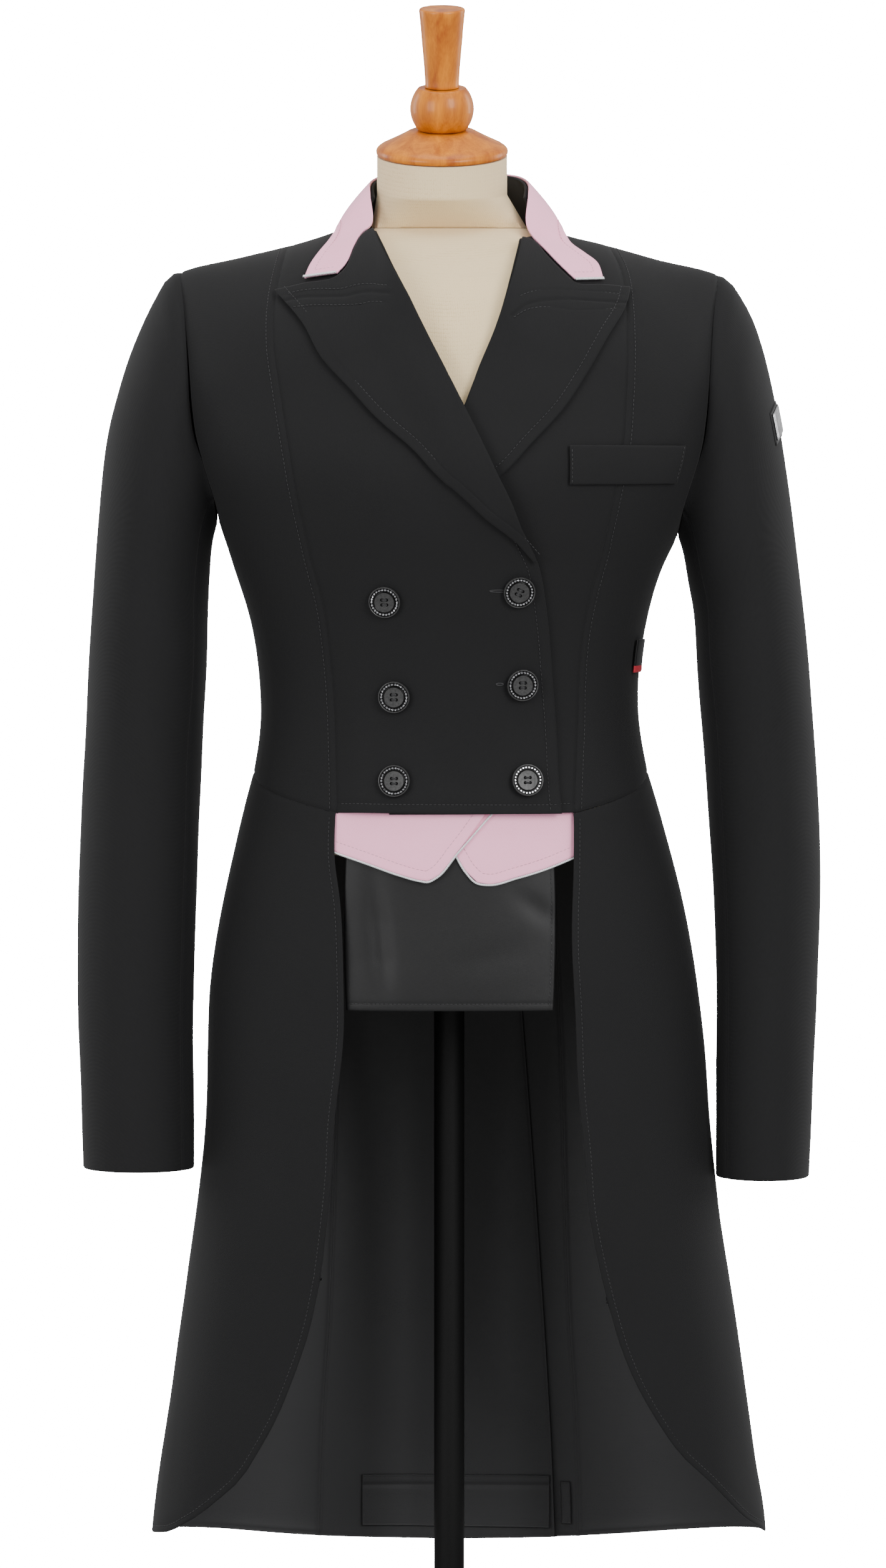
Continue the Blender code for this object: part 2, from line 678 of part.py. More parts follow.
CAP_ROWS = 5
SLEEVE_DOWN = np.concatenate((np.linspace(0, CAP_SHARE, CAP_ROWS + 1)[:-1],
                              np.linspace(CAP_SHARE, 1, SLEEVE_STEPS - CAP_ROWS + 1)))
for side in SIDES:
    first = ARM_STEPS - SLEEVE_SEAM_STEP
    over_arm = ARM_ROUND[first:-first]
    under_arm = np.concatenate((ARM_ROUND[-first - 1:], ARM_ROUND[1:first + 1] + 2 * np.pi))
    for piece, turn in (("top_sleeve", over_arm), ("under_sleeve", under_arm)):
        wrapped = (turn + np.pi) % (2 * np.pi) - np.pi
        wrapped[np.isclose(turn, np.pi)] = np.pi
        surface = sleeve_points(side, SLEEVE_DOWN, wrapped)
        top_gap = SHOULDER_SEAM if piece == "top_sleeve" else UNDERARM_SEAM
        shell(f"{piece}_{side}", surface, CLOTH, WOOL,
              sleeve_normals(side, SLEEVE_DOWN, wrapped), top_gap, SLEEVE_SEAM)


# Lapels: outer edge, top edge from the peak to the neck, and roll line
LAPEL_EDGE = {
    "right": ((124.3, 980), (102.6, 954.6), (90.9, 933.4), (69.6, 909.4), (48.8, 887),
              (26.2, 867.8), (6.8, 848), (-9.5, 834.8), (-26.2, 819.4), (-47, 803), (-59, 789)),
    "left": ((128.8, 982), (126.6, 972.7), (111, 945.5), (96.3, 920), (81.4, 897.6),
             (58.8, 873), (36.6, 850), (27, 843))}
LAPEL_TOP = {
    "right": ((124.3, 980), (103, 984), (78.6, 988), (73.2, 992.6), (66.4, 1006),
              (59.7, 1016.5), (51, 1021.5)),
    "left": ((128.8, 982), (109, 983.5), (89, 985), (81.4, 991.5), (69.6, 1003.5),
             (58, 1015.6), (51, 1018))}
LAPEL_ROLL = {
    "right": ROLL["right"] + ((-61, 790.5),),
    "left": ROLL["left"][:5] + ((4.5, 888.6),)}


def panel_rise(side, plan):
    """How far a front's outer face stands above the body at the given points."""
    if side == "right":
        return overlap_rise(plan)
    return np.zeros(plan.shape[:-1])


for side in SIDES:
    rows = 12
    outer = on_front(side, LAPEL_EDGE[side], rows, ROLL_POWER)
    inner = on_front(side, LAPEL_ROLL[side], rows, ROLL_POWER)
    top = on_front(side, LAPEL_TOP[side], 6)
    inner[0] = top[-1]
    outer[0] = top[0]
    plan = patch(outer, inner, top, span(outer[-1], inner[-1], 6))
    rise = panel_rise(side, plan) + LAPEL_RISE + LAPEL_LIFT[side]
    shell(f"lapel_{side}", raised(plan, rise), CLOTH, WOOL, body_normals(plan))


# Collar: from its end on the chest, then round the neck to the centre back
COLLAR_GORGE = {
    "right": ((79, 990), (73.4, 995), (66.8, 1008), (60, 1018.5)),
    "left": ((89, 987.5), (82, 994), (70.2, 1006), (58.5, 1018.3))}
COLLAR_EDGE = {
    "right": ((103, 988), (98.5, 998), (92.5, 1006), (86.5, 1012.5)),
    "left": ((109.4, 988), (107.5, 996), (96.5, 1006), (87, 1013))}
NECK_ROUND = table("edge_across edge_height fold_across fold_along fold_height", (
    (82, 1018, 55, -38, 1031),
    (80.5, 1021.2, 57, -18, 1050),
    (80, 1019.8, 57.5, 4, 1059),
    (74, 1014, 53, 30, 1064),
    (61, 1015, 45, 42, 1066),
    (42, 1018.5, 31, 53, 1067.5),
    (21, 1022.5, 16, 60, 1068.5),
    (0, 1024, 0, 63, 1069)))
STAND_FOOT = table("across height", (
    (64, 1024), (74.5, 1024.4), (66, 1024.4), (54, 1025), (39, 1027.2), (20, 1030), (0, 1031)))
COLLAR_ROWS = 3
COLLAR_SWELL = 2.5 * MM
COLLAR_CLEAR = 2.6 * MM     # the fall stands this much higher where it bridges the neck
NECK_AXIS = np.array((-5.2, 6, 0)) * MM
STAND_INSET = 2.2 * MM      # the stand lies this far inside the fold and below it
STAND_DROP = 1.2 * MM
STAND_LIFT = 1.7 * MM
STAND_AHEAD = 2             # this many of its stations lie before the shoulder line


def neck_plan(side, behind, across, height):
    """Give the bearing and height of a point before or behind the shoulder line."""
    signed = SIGN[side] * across
    bearing = back_bearing(side, signed, height) if behind else front_bearing(signed, height)
    return np.array((float(bearing), float(height)))


def collar_half(side):
    """Give the collar's outer face from its front end to the centre back."""
    share = np.linspace(0, 1, COLLAR_ROWS + 1)[:, None]
    stations = []
    gorge = on_front(side, COLLAR_GORGE[side], 3)
    edge = on_front(side, COLLAR_EDGE[side], 3)
    for near, far in zip(gorge, edge):
        plan = (1 - share) * near + share * far
        stations.append(raised(plan, panel_rise(side, plan) + LAPEL_RISE))
    for i in range(len(NECK_ROUND["fold_along"])):
        at = {name: values[i] for name, values in NECK_ROUND.items()}
        behind = at["fold_along"] > 0
        plan = neck_plan(side, behind, at["edge_across"], at["edge_height"])[None]
        low = raised(plan, LAPEL_RISE + COLLAR_CLEAR)[0]
        fold = np.array((SIGN[side] * at["fold_across"], at["fold_along"], at["fold_height"]))
        swell = 4 * share * (1 - share) * COLLAR_SWELL
        away = (low - fold) * np.array((1, 1, 0))
        away = away / np.linalg.norm(away)
        stations.append((1 - share) * fold + share * low + swell * (away + (0, 0, 0.6)))
    return np.stack(stations, axis=1)


def away_from_neck(grid):
    """Give a collar grid's normals, which face away from the neck's axis."""
    inside = NECK_AXIS + grid * np.array((0, 0, 1.0)) - np.array((0, 0, 0.03))
    down = np.gradient(grid, axis=0)
    across = np.gradient(grid, axis=1)
    normals = np.cross(down, across)
    normals /= np.linalg.norm(normals, axis=-1, keepdims=True).clip(1e-12)
    facing = np.sum(normals * (grid - inside), axis=-1)
    return normals * (1 if facing.mean() > 0 else -1)


halves = {side: collar_half(side) for side in SIDES}
fall = np.concatenate((halves["right"], halves["left"][:, -2::-1]), axis=1)
shell("collar_fall", fall, CLOTH, PINK, away_from_neck(fall))


def stand_half(side):
    """Give the collar stand from the front of the neck to the centre back."""
    share = np.linspace(0, 1, 3)[:, None]
    stations = []
    for i, (across, height) in enumerate(zip(*STAND_FOOT.values()), 1):
        plan = neck_plan(side, i > STAND_AHEAD, across, height)[None]
        foot = raised(plan, STAND_LIFT)[0]
        fold = np.array((SIGN[side] * NECK_ROUND["fold_across"][i], NECK_ROUND["fold_along"][i],
                         NECK_ROUND["fold_height"][i]))
        inwards = (NECK_AXIS - fold) * np.array((1, 1, 0))
        inwards = inwards / np.linalg.norm(inwards)
        head = fold + STAND_INSET * inwards - np.array((0, 0, STAND_DROP))
        stations.append((1 - share) * head + share * foot)
    return np.stack(stations, axis=1)


halves = {side: stand_half(side) for side in SIDES}
stand = np.concatenate((halves["right"], halves["left"][:, -2::-1]), axis=1)
shell("collar_stand", stand, CLOTH, WOOL, away_from_neck(stand))

# Waistcoat points: top corners, lower edge and how deep each lies behind the fronts
VEST_TOP = 620
VEST = {
    "right": (((87, VEST_TOP), (87, 583)),
              ((87, 583), (58, 573.5), (36, 566), (21, 562), (15.5, 561.3)),
              ((-34, VEST_TOP), (-5, 581), (10, 564), (15.5, 561.3))),
    "left": (((93, VEST_TOP), (93, 579)),
             ((93, 579), (68, 569.5), (49, 564), (28, 559.2), (20.5, 560.3)),
             ((-27, VEST_TOP), (5, 580), (12, 568.5), (20.5, 560.3)))}
VEST_GAP = 0.6 * MM
VEST_DEPTH = {"right": CLOTH + VEST_GAP, "left": CLOTH + THIN_CLOTH + 2 * VEST_GAP}
PIPING_RADIUS = 0.7 * MM
PIPING_GAP = 0.9 * MM


def below(points, gap):
    """Shift a line of (distance, height) points square to itself, downwards."""
    points = np.array(points, dtype=float)
    along = np.gradient(points, axis=0)
    square = np.stack((along[:, 1], -along[:, 0]), axis=-1)
    square *= np.where(square[:, 1:] > 0, -1, 1)
    return points + gap / MM * square / np.linalg.norm(square, axis=-1, keepdims=True)


for side in SIDES:
    rows = 4
    columns = 9
    outer_line, lower_line, slope_line = VEST[side]
    outer = on_front(side, outer_line, rows)
    slope = on_front(side, slope_line, rows)
    lower = on_front(side, lower_line, columns)
    lower[-1] = slope[-1]
    plan = patch(outer, slope, span(outer[0], slope[0], columns), lower)
    depth = np.full(plan.shape[:2], -VEST_DEPTH[side])
    shell(f"vest_point_{side}", raised(plan, depth), THIN_CLOTH, PINK, body_normals(plan))
    edge = trace(lower_line + slope_line[-2:0:-1] + ((slope_line[0][0], VEST_TOP - 6),), 20)
    run = on_front(side, below(edge, PIPING_RADIUS + PIPING_GAP), 22)
    middle = np.full(len(run), -VEST_DEPTH[side] - PIPING_RADIUS)
    cord_along(f"vest_piping_{side}", raised(run, middle), PIPING_RADIUS, SILVER_CORD)

for side in SIDES:
    ends = (COLLAR_EDGE[side][0], COLLAR_GORGE[side][0])
    run = on_front(side, [(across, height - 1.2) for across, height in ends], 4)
    rise = panel_rise(side, run) + LAPEL_RISE + LAPEL_LIFT[side] + PIPING_RADIUS + VEST_GAP
    cord_along(f"collar_piping_{side}", raised(run, rise), PIPING_RADIUS, SILVER_CORD)

# Satin flap that hangs behind the waistcoat points
FLAP_TOP = 612 * MM
FLAP_FOOT = 468 * MM
FLAP_ACROSS = ((-74.5, 75), (-75, 75.5))
FLAP_DEPTH = VEST_DEPTH["left"] + THIN_CLOTH + VEST_GAP


def flap_line(ends, height, columns):
    across = np.linspace(ends[0] * MM, ends[1] * MM, columns + 1)
    heights = np.full(columns + 1, height)
    return np.stack((front_bearing(across, heights), heights), axis=-1)


columns = 9
top = flap_line(FLAP_ACROSS[0], FLAP_TOP, columns)
foot = flap_line(FLAP_ACROSS[1], FLAP_FOOT, columns)
plan = patch(span(top[0], foot[0], 6), span(top[-1], foot[-1], 6), top, foot)
shell("satin_flap", raised(plan, np.full(plan.shape[:2], -FLAP_DEPTH)), THIN_CLOTH, SATIN,
      body_normals(plan))

# Breast welt on the wearer's left, across the princess seam
WELT = np.array(((84.5, 871), (167, 870.5), (84.5, 843.5), (160.5, 844))) * MM
corners = np.stack((front_bearing(WELT[:, 0], WELT[:, 1]), WELT[:, 1]), axis=-1)
plan = patch(span(corners[0], corners[2], 2), span(corners[1], corners[3], 2),
             span(corners[0], corners[1], 8), span(corners[2], corners[3], 8))
shell("breast_welt", raised(plan, np.full(plan.shape[:2], LAPEL_RISE)), CLOTH, WOOL,
      body_normals(plan))

# Woven tab at the left side, in degrees of bearing and heights
TAB_BEARINGS = (70, 80)
TAB_HEIGHTS = (731, 707)
near, far = np.radians(TAB_BEARINGS)
top, foot = np.array(TAB_HEIGHTS) * MM
plan = patch(span((near, top), (near, foot), 2), span((far, top), (far, foot), 2),
             span((near, top), (far, top), 2), span((near, foot), (far, foot), 2))
shell("side_tab", raised(plan, np.full(plan.shape[:2], THIN_CLOTH + LAY)), THIN_CLOTH, SATIN,
      body_normals(plan))

# Plate and its backing on the left sleeve: shares down the sleeve and turns in degrees
BADGE_PIECES = (("sleeve_backing", (0.314, 0.354), (5, 33), 1.0 * MM, SATIN, 1.6 * MM),
                ("sleeve_plate", (0.318, 0.350), (7.5, 30.5), 0.8 * MM, PLATE, 2.8 * MM))
for name, downs, turns, wall, look, rise in BADGE_PIECES:
    down = np.linspace(*downs, 4)
    turn = np.radians(np.linspace(*turns, 4))
    normals = sleeve_normals("left", down, turn)
    shell(name, sleeve_points("left", down, turn) + normals * rise, wall, look, normals)

# Pocket patches inside the tail hem, as (distance from the centre, height)
TAIL_POCKETS = {"right": ((65, 107), (-75, 107), (65, 68.5), (-75, 67)),
                "left": ((89.5, 102), (82.5, 102), (90.5, 70), (83.5, 70))}
for side in SIDES:
    steps = 8 if side == "right" else 1
    corners = [neck_plan(side, True, across * MM, height * MM)
               for across, height in TAIL_POCKETS[side]]
    plan = patch(span(corners[0], corners[2], 2), span(corners[1], corners[3], 2),
                 span(corners[0], corners[1], steps), span(corners[2], corners[3], steps))
    tail = vent_drop(plan) if side == "right" else np.zeros(plan.shape[:2])
    shell(f"tail_pocket_{side}", raised(plan, tail - CLOTH - VEST_GAP), THIN_CLOTH, SATIN,
          body_normals(plan))

# Buttons: six in two columns on the right front
BUTTON_RADIUS = 11.5
BUTTONS = (("button_top_right", 45.3, 761, 0.5), ("button_top_left", -48.8, 768, 0.5),
           ("button_middle_right", 38.6, 692.5, 1.1), ("button_middle_left", -51, 701, 1.1),
           ("button_waist_right", 38.6, 631.5, 1.1), ("button_waist_left", -54.6, 632, 1.1))
BUTTON_PROFILE = ((0, 2.4), (8, 2.4), (8.4, 3.1), (10.8, 3.1), (BUTTON_RADIUS, 2.3),
                  (BUTTON_RADIUS, 0), (0, 0))
for name, across, height, gap in BUTTONS:
    spot = np.array((SIGN["right"] * across, height)) * MM
    plan = np.array(((float(front_bearing(*spot)), spot[1]),))
    place = raised(plan, overlap_rise(plan) + gap * MM)[0]
    normal = Vector(body_normals(plan)[0])
    button = turned_piece(name, BUTTON_PROFILE, 16, GUNMETAL)
    button.location = place
    button.rotation_mode = "QUATERNION"
    button.rotation_quaternion = Vector((0, 0, 1)).rotation_difference(normal)

# Dress form: insets keep it clear of the cloth, and it ends in flat sides at the arms
FORM = table("height inset", ((560, 9.5), (640, 9.0), (690, 6), (760, 5.5), (900, 5.2), (1040, 5)))
FORM_DROP = 6.0 * MM        # the form's shoulder line lies this far under the coat's
FORM_FLOOR = 578 * MM
FORM_TOP = 1026 * MM
FORM_HEIGHTS = (578, 588, 612, 640, 672, 705, 740, 775, 805, 835, 865, 895, 925, 950, 970, 983,
                991, 998, 1004, 1010, 1016, 1021, 1026)
NECK_FRONT_CAP = 1034 * MM  # the chest runs back into the neck from these heights
NECK_BACK_CAP = 1050 * MM
FORM_HALF_STEPS = 12
FORM_THINNEST = 1.5 * MM    # half thickness left at the ends of the shoulders
TIP_HEIGHT = 994 * MM
ARM_PLATE_GAP = 2.5 * MM


def form_reach(side, height):
    """Half width of the form: the body's, a flat plate at the arms, or the shoulder's."""
    lifted = height + FORM_DROP
    inset = smooth(FORM["height"], FORM["inset"], height)
    wide = reach(side, np.array([height]))[0] - inset
    if height > UNDERARM[side] - 20 * MM:
        rise = np.clip((height - UNDERARM[side]) / (TIP_HEIGHT - UNDERARM[side]), 0, 1)
        share = smooth(ARMHOLE_RISE, ARMHOLE_SHARE, np.array([rise]))[0]
        wide = min(wide, share * reach(side, np.array([height]))[0] - ARM_PLATE_GAP)
    line = np.interp(-lifted, -SHOULDER[side], SHOULDER["across"])
    return min(wide, line)


def form_ring(height):
    """Give one level of the form, from side to side in front and then behind."""
    inset = smooth(FORM["height"], FORM["inset"], height)
    half = np.linspace(-1, 1, FORM_HALF_STEPS + 1) * math.pi / 2
    points = []
    for ahead in (True, False):
        for turn in (half if ahead else half[::-1]):
            side = "right" if turn < 0 else "left"
            across = form_reach(side, height) * math.sin(turn)
            wide = reach(side, np.array([height]))[0]
            deep = smooth(SECTIONS["height"], SECTIONS["front" if ahead else "back"], height)
            share = min(abs(across) / (wide - inset), 1)
            plan_depth = (1 - share ** SECTION_POWER) ** (1 / SECTION_POWER)
            cap = NECK_FRONT_CAP if ahead else NECK_BACK_CAP
            top = min(shoulder_height(side, across), cap)
            drop = np.clip((top - FORM_DROP - height) / (FRONT_FALL if ahead else BACK_FALL), 0, 1)
            along = (deep - inset) * plan_depth * math.sqrt(1 - (1 - drop) ** 2)
            along = max(along, FORM_THINNEST)
            points.append((across, -along if ahead else along, height))
    return points


def lofted(name, rings, look):
    """Close a stack of rings with the same number of points, from the bottom to the top."""
    count = len(rings[0])
    verts = [point for ring in rings for point in ring]
    faces = []
    for i in range(len(rings) - 1):
        for j in range(count):
            k = (j + 1) % count
            faces.append((i * count + j, i * count + k, (i + 1) * count + k, (i + 1) * count + j))
    faces.append(tuple(reversed(range(count))))
    faces.append(tuple(range((len(rings) - 1) * count, len(rings) * count)))
    return add_mesh(name, verts, faces, look)


rings = [form_ring(height * MM) for height in FORM_HEIGHTS]
foot = np.array(rings[0])
rings[0] = [tuple(point) for point in foot * np.array((0.96, 0.94, 1))]
lofted("form_torso", rings, JERSEY)

NECK_CENTRE = Vector((-5.2, 2, 1079)) * MM
NECK_RADIUS = 47 * MM
NECK_GAP = 0.3 * MM
NECK_ROUNDING = 2.2         # how soon the neck becomes round above the shoulders
lean = Matrix.Rotation(NECK_TILT, 4, "X")


def neck_ring(base, share):
    """Blend the torso's top outline into the tilted circle under the cap."""
    ring = []
    for j, point in enumerate(base):
        half = FORM_HALF_STEPS + 1
        turn = (j % half) / FORM_HALF_STEPS * math.pi - math.pi / 2
        facing = -1 if j < half else 1
        circle = Vector((-facing * math.sin(turn), facing * math.cos(turn), 0)) * NECK_RADIUS
        circle = lean @ (circle - Vector((0, 0, NECK_GAP))) + NECK_CENTRE
        start = Vector(point) + Vector((0, 0, NECK_GAP))
        shape = min(1, share * NECK_ROUNDING)
        place = start.lerp(circle, shape)
        place.z = start.z + (circle.z - start.z) * share
        ring.append(tuple(place))
    return ring


base = form_ring(FORM_TOP)
lofted("form_neck", [neck_ring(base, share) for share in (0, 0.15, 0.3, 0.45, 0.7, 1)], JERSEY)

# Turned wood on the neck, as (radius, distance along the leaning axis)
CAP_PROFILE = ((0, 18), (21.5, 18), (24, 17.4), (28, 15.3), (36, 11.1), (44, 7.2), (47, 5),
               (47.7, 3), (47.2, 1), (45, 0), (0, 0))
BALL_CENTRE = 33.8
BALL_RADIUS = 23
BALL_HALF_HEIGHT = 15.3     # the ball is cut flat this far above and below its centre
BALL_STEPS = 7
BALL_HEIGHTS = np.linspace(BALL_HALF_HEIGHT, -BALL_HALF_HEIGHT, BALL_STEPS + 1)
BALL_ROUND = [(math.sqrt(BALL_RADIUS ** 2 - h ** 2), BALL_CENTRE + h) for h in BALL_HEIGHTS]
BALL_PROFILE = [(0, BALL_ROUND[0][1])] + BALL_ROUND + [(0, BALL_ROUND[-1][1])]
POST_PROFILE = ((0, 106.8), (15.5, 106.8), (16.5, 105.8), (16.3, 102), (14.8, 85), (13, 65), (12.2, 52),
                (12.2, 49.5), (0, 49.5))
for name, profile in (("form_cap", CAP_PROFILE), ("form_ball", BALL_PROFILE),
                      ("form_post", POST_PROFILE)):
    turned = turned_piece(name, profile, 24, WOOD)
    turned.location = NECK_CENTRE
    turned.rotation_euler = (NECK_TILT, 0, 0)

# Pole up to the torso, and a round plate with a bevelled rim on the floor
pole_top = (FORM_FLOOR - NECK_GAP) / MM
pole_foot = (BASE_HEIGHT + NECK_GAP) / MM
pole_wide = POLE_RADIUS / MM
POLE = ((0, pole_top), (pole_wide, pole_top), (pole_wide, pole_foot), (0, pole_foot))
turned_piece("stand_pole", POLE, 20, STEEL)
rim = BASE_RADIUS / MM
plate_top = BASE_HEIGHT / MM
BASE_BEVEL = 4
PLATE = ((0, plate_top), (rim - BASE_BEVEL, plate_top), (rim, plate_top - BASE_BEVEL), (rim, 0),
         (0, 0))
turned_piece("stand_base", PLATE, 40, STEEL)
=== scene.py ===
"""Looks of a dressage tailcoat worn on a limbless dress form.

It runs in Blender 4.5 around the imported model, in metres, with +Z up, the coat's
front towards -Y and the wearer's left at +X. Every panel is a fine grid of points
on the same body surface as the solid that it replaces. Tables are in millimetres.
"""
import math

import bmesh
import bpy
import numpy as np
from mathutils import Matrix, Vector


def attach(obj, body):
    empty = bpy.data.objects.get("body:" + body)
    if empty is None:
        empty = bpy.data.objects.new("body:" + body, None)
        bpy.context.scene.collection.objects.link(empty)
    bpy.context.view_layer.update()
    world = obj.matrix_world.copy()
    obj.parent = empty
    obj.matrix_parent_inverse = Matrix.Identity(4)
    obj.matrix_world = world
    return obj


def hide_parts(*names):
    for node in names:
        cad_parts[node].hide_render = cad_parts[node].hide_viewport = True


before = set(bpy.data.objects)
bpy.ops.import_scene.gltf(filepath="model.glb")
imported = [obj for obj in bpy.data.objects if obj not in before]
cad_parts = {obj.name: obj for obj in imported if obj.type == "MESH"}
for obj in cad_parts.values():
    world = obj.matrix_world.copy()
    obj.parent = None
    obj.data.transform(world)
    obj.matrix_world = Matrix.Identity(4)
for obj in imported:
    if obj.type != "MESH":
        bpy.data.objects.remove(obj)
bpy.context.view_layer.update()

MM = 0.001
SIGN = {"right": -1, "left": 1}
SIDES = ("right", "left")
EAST, NORTH, UP = np.eye(3)


def put(name, data):
    """Make an object of some data and link it to the scene."""
    made = bpy.data.objects.new(name, data)
    bpy.context.scene.collection.objects.link(made)
    return made


def solid(name, verts, faces, *looks):
    """Make a mesh object of points and faces, with its materials."""
    mesh = bpy.data.meshes.new(name)
    mesh.from_pydata([tuple(point) for point in verts], [], faces)
    for look in looks:
        mesh.materials.append(look)
    return put(name, mesh)


def settle(made, replaced=None):
    """Put a finished object on the one body, and hide the solid it stands for."""
    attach(made, "root")
    if replaced:
        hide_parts(replaced)


def unit(vectors):
    """Scale each vector to length one."""
    return vectors / np.linalg.norm(vectors, axis=-1, keepdims=True).clip(1e-12)


def bell(distance, width):
    """Give a bell curve: 1 at no distance, and near 0 past twice the width."""
    return np.exp(-(distance / width) ** 2)


def ring(centre, right, ahead, radius, sides, skew=0.0):
    """Give points round a centre, in the plane of two square unit vectors."""
    turns = 2 * np.pi * (np.arange(sides) + skew) / sides
    return centre + radius * (np.cos(turns)[:, None] * right + np.sin(turns)[:, None] * ahead)


def ring_faces(first, rings, sides, flip=False):
    """Give the quads between rings of points that follow each other in a list."""
    faces = []
    for k in range(rings - 1):
        for j in range(sides):
            a = first + k * sides + j
            b = first + k * sides + (j + 1) % sides
            faces.append((a, a + sides, b + sides, b) if flip else (a, b, b + sides, a + sides))
    return faces


def round_face(first, sides, flip=False):
    """Give the one face that closes a ring."""
    face = tuple(range(first, first + sides))
    return face[::-1] if flip else face


# The camera stands 6 m away, 3 degrees above the horizon at the picture's mid height,
# and its lens takes in the 1.135 m that the photograph shows from top to bottom.
VIEW_AT = Vector((-4.5, 0, 624.6)) * MM
VIEW_AWAY = 6.0
VIEW_DOWN = math.radians(3)
VIEW_TALL = 1.1354
camera_data = bpy.data.cameras.new("photo_camera")
camera_data.sensor_fit = "VERTICAL"
camera_data.sensor_height = 24
camera_data.lens = camera_data.sensor_height * VIEW_AWAY / VIEW_TALL
camera_data.clip_end = 50
camera = put("photo_camera", camera_data)
camera.location = VIEW_AT + VIEW_AWAY * Vector((0, -math.cos(VIEW_DOWN), math.sin(VIEW_DOWN)))
camera.rotation_euler = (math.pi / 2 - VIEW_DOWN, 0, 0)
bpy.context.scene.camera = camera

# Studio: a pale floor that sweeps up all round, and large soft lights in front and above.
# The figures are the lights' places, sizes in metres and watts.
def add_light(name, place, size, power, aim=(0, 0, 0.65)):
    data = bpy.data.lights.new(name, "AREA")
    data.shape = "RECTANGLE"
    data.size, data.size_y = size
    data.energy = power
    light = put(name, data)
    light.location = place
    light.rotation_euler = (Vector(aim) - Vector(place)).to_track_quat("-Z", "Y").to_euler()


for light_row in (("key", (2.2, -3.2, 2.2), (1.6, 2.2), 124),
                  ("fill", (-2.6, -3.0, 1.5), (1.8, 2.4), 86),
                  ("rim_right", (-2.6, 1.4, 1.6), (0.9, 2.0), 30),
                  ("rim_left", (2.6, 1.4, 1.6), (0.9, 2.0), 30),
                  ("top", (0, -0.3, 3.0), (1.8, 1.4), 26)):
    add_light(*light_row)
world = bpy.data.worlds.new("pale_room")
bpy.context.scene.world = world
world.use_nodes = True
world.node_tree.nodes["Background"].inputs["Color"].default_value = (1, 1, 1, 1)
world.node_tree.nodes["Background"].inputs["Strength"].default_value = 0.75

SWEEP_FLOOR = 14            # radius of the flat floor in metres
SWEEP_CURVE = 3             # radius of its upward curve
SWEEP_TOP = 24
SWEEP_SIDES = 64
sweep_line = [(0.01, 0), (SWEEP_FLOOR, 0)]
for turn in np.linspace(0, math.pi / 2, 13)[1:]:
    sweep_line.append((SWEEP_FLOOR + SWEEP_CURVE * math.sin(turn), SWEEP_CURVE * (1 - math.cos(turn))))
sweep_line.append((SWEEP_FLOOR + SWEEP_CURVE, SWEEP_TOP))
sweep_verts = np.concatenate([ring(height * UP, EAST, NORTH, radius, SWEEP_SIDES)
                              for radius, height in sweep_line])
sweep = solid("studio_sweep", sweep_verts, ring_faces(0, len(sweep_line), SWEEP_SIDES)
              + [round_face(0, SWEEP_SIDES)])
sweep.data.shade_smooth()
sweep.visible_diffuse = False       # its brightness whitens the view and doesn't light the coat
sweep.visible_glossy = False


# Materials. Colours are written as sRGB hex, and lengths in the patterns in metres,
# from a panel's own UV, whose units are metres of cloth.
def srgb(code):
    values = [int(code[i:i + 2], 16) / 255 for i in (0, 2, 4)]
    return tuple(v / 12.92 if v < 0.04045 else ((v + 0.055) / 1.055) ** 2.4 for v in values) + (1,)


def add_node(mat, kind, inputs=None, **settings):
    """Add a shader node, set its settings, and set or link its inputs."""
    node = mat.node_tree.nodes.new(kind)
    for key, value in settings.items():
        setattr(node, key, value)
    for key, value in (inputs or {}).items():
        if isinstance(value, bpy.types.NodeSocket):
            mat.node_tree.links.new(value, node.inputs[key])
        else:
            node.inputs[key].default_value = value
    return node


def new_material(name, **constants):
    """Make a Principled material with fixed values on its own sockets."""
    mat = bpy.data.materials.new(name)
    mat.use_nodes = True
    shader = mat.node_tree.nodes["Principled BSDF"]
    for key, value in constants.items():
        shader.inputs[key.replace("_", " ")].default_value = value
    return mat, shader


def link(mat, out, into):
    mat.node_tree.links.new(out, into)


def colour_mix(mat, factor, first, second, low=0.35, high=0.65):
    """Blend two colours by a pattern's value, spread over the given range."""
    ramp = add_node(mat, "ShaderNodeValToRGB", {"Fac": factor})
    ramp.color_ramp.elements[0].position = low
    ramp.color_ramp.elements[1].position = high
    ramp.color_ramp.elements[0].color = srgb(first)
    ramp.color_ramp.elements[1].color = srgb(second)
    return ramp.outputs["Color"]


def noise(mat, place, scale, detail, **more):
    """Add a cloudy pattern over the given coordinates."""
    inputs = {"Vector": place, "Scale": scale, "Detail": detail, **more}
    return add_node(mat, "ShaderNodeTexNoise", inputs).outputs["Fac"]


def combine(mat, operation, first, second):
    """Add or multiply two patterns."""
    return add_node(mat, "ShaderNodeMath", {0: first, 1: second}, operation=operation).outputs[0]


def relief(mat, shader, height, strength, depth):
    """Let a pattern raise and dent the shaded surface."""
    bump = add_node(mat, "ShaderNodeBump", {"Height": height, "Strength": strength,
                                            "Distance": depth})
    link(mat, bump.outputs["Normal"], shader.inputs["Normal"])


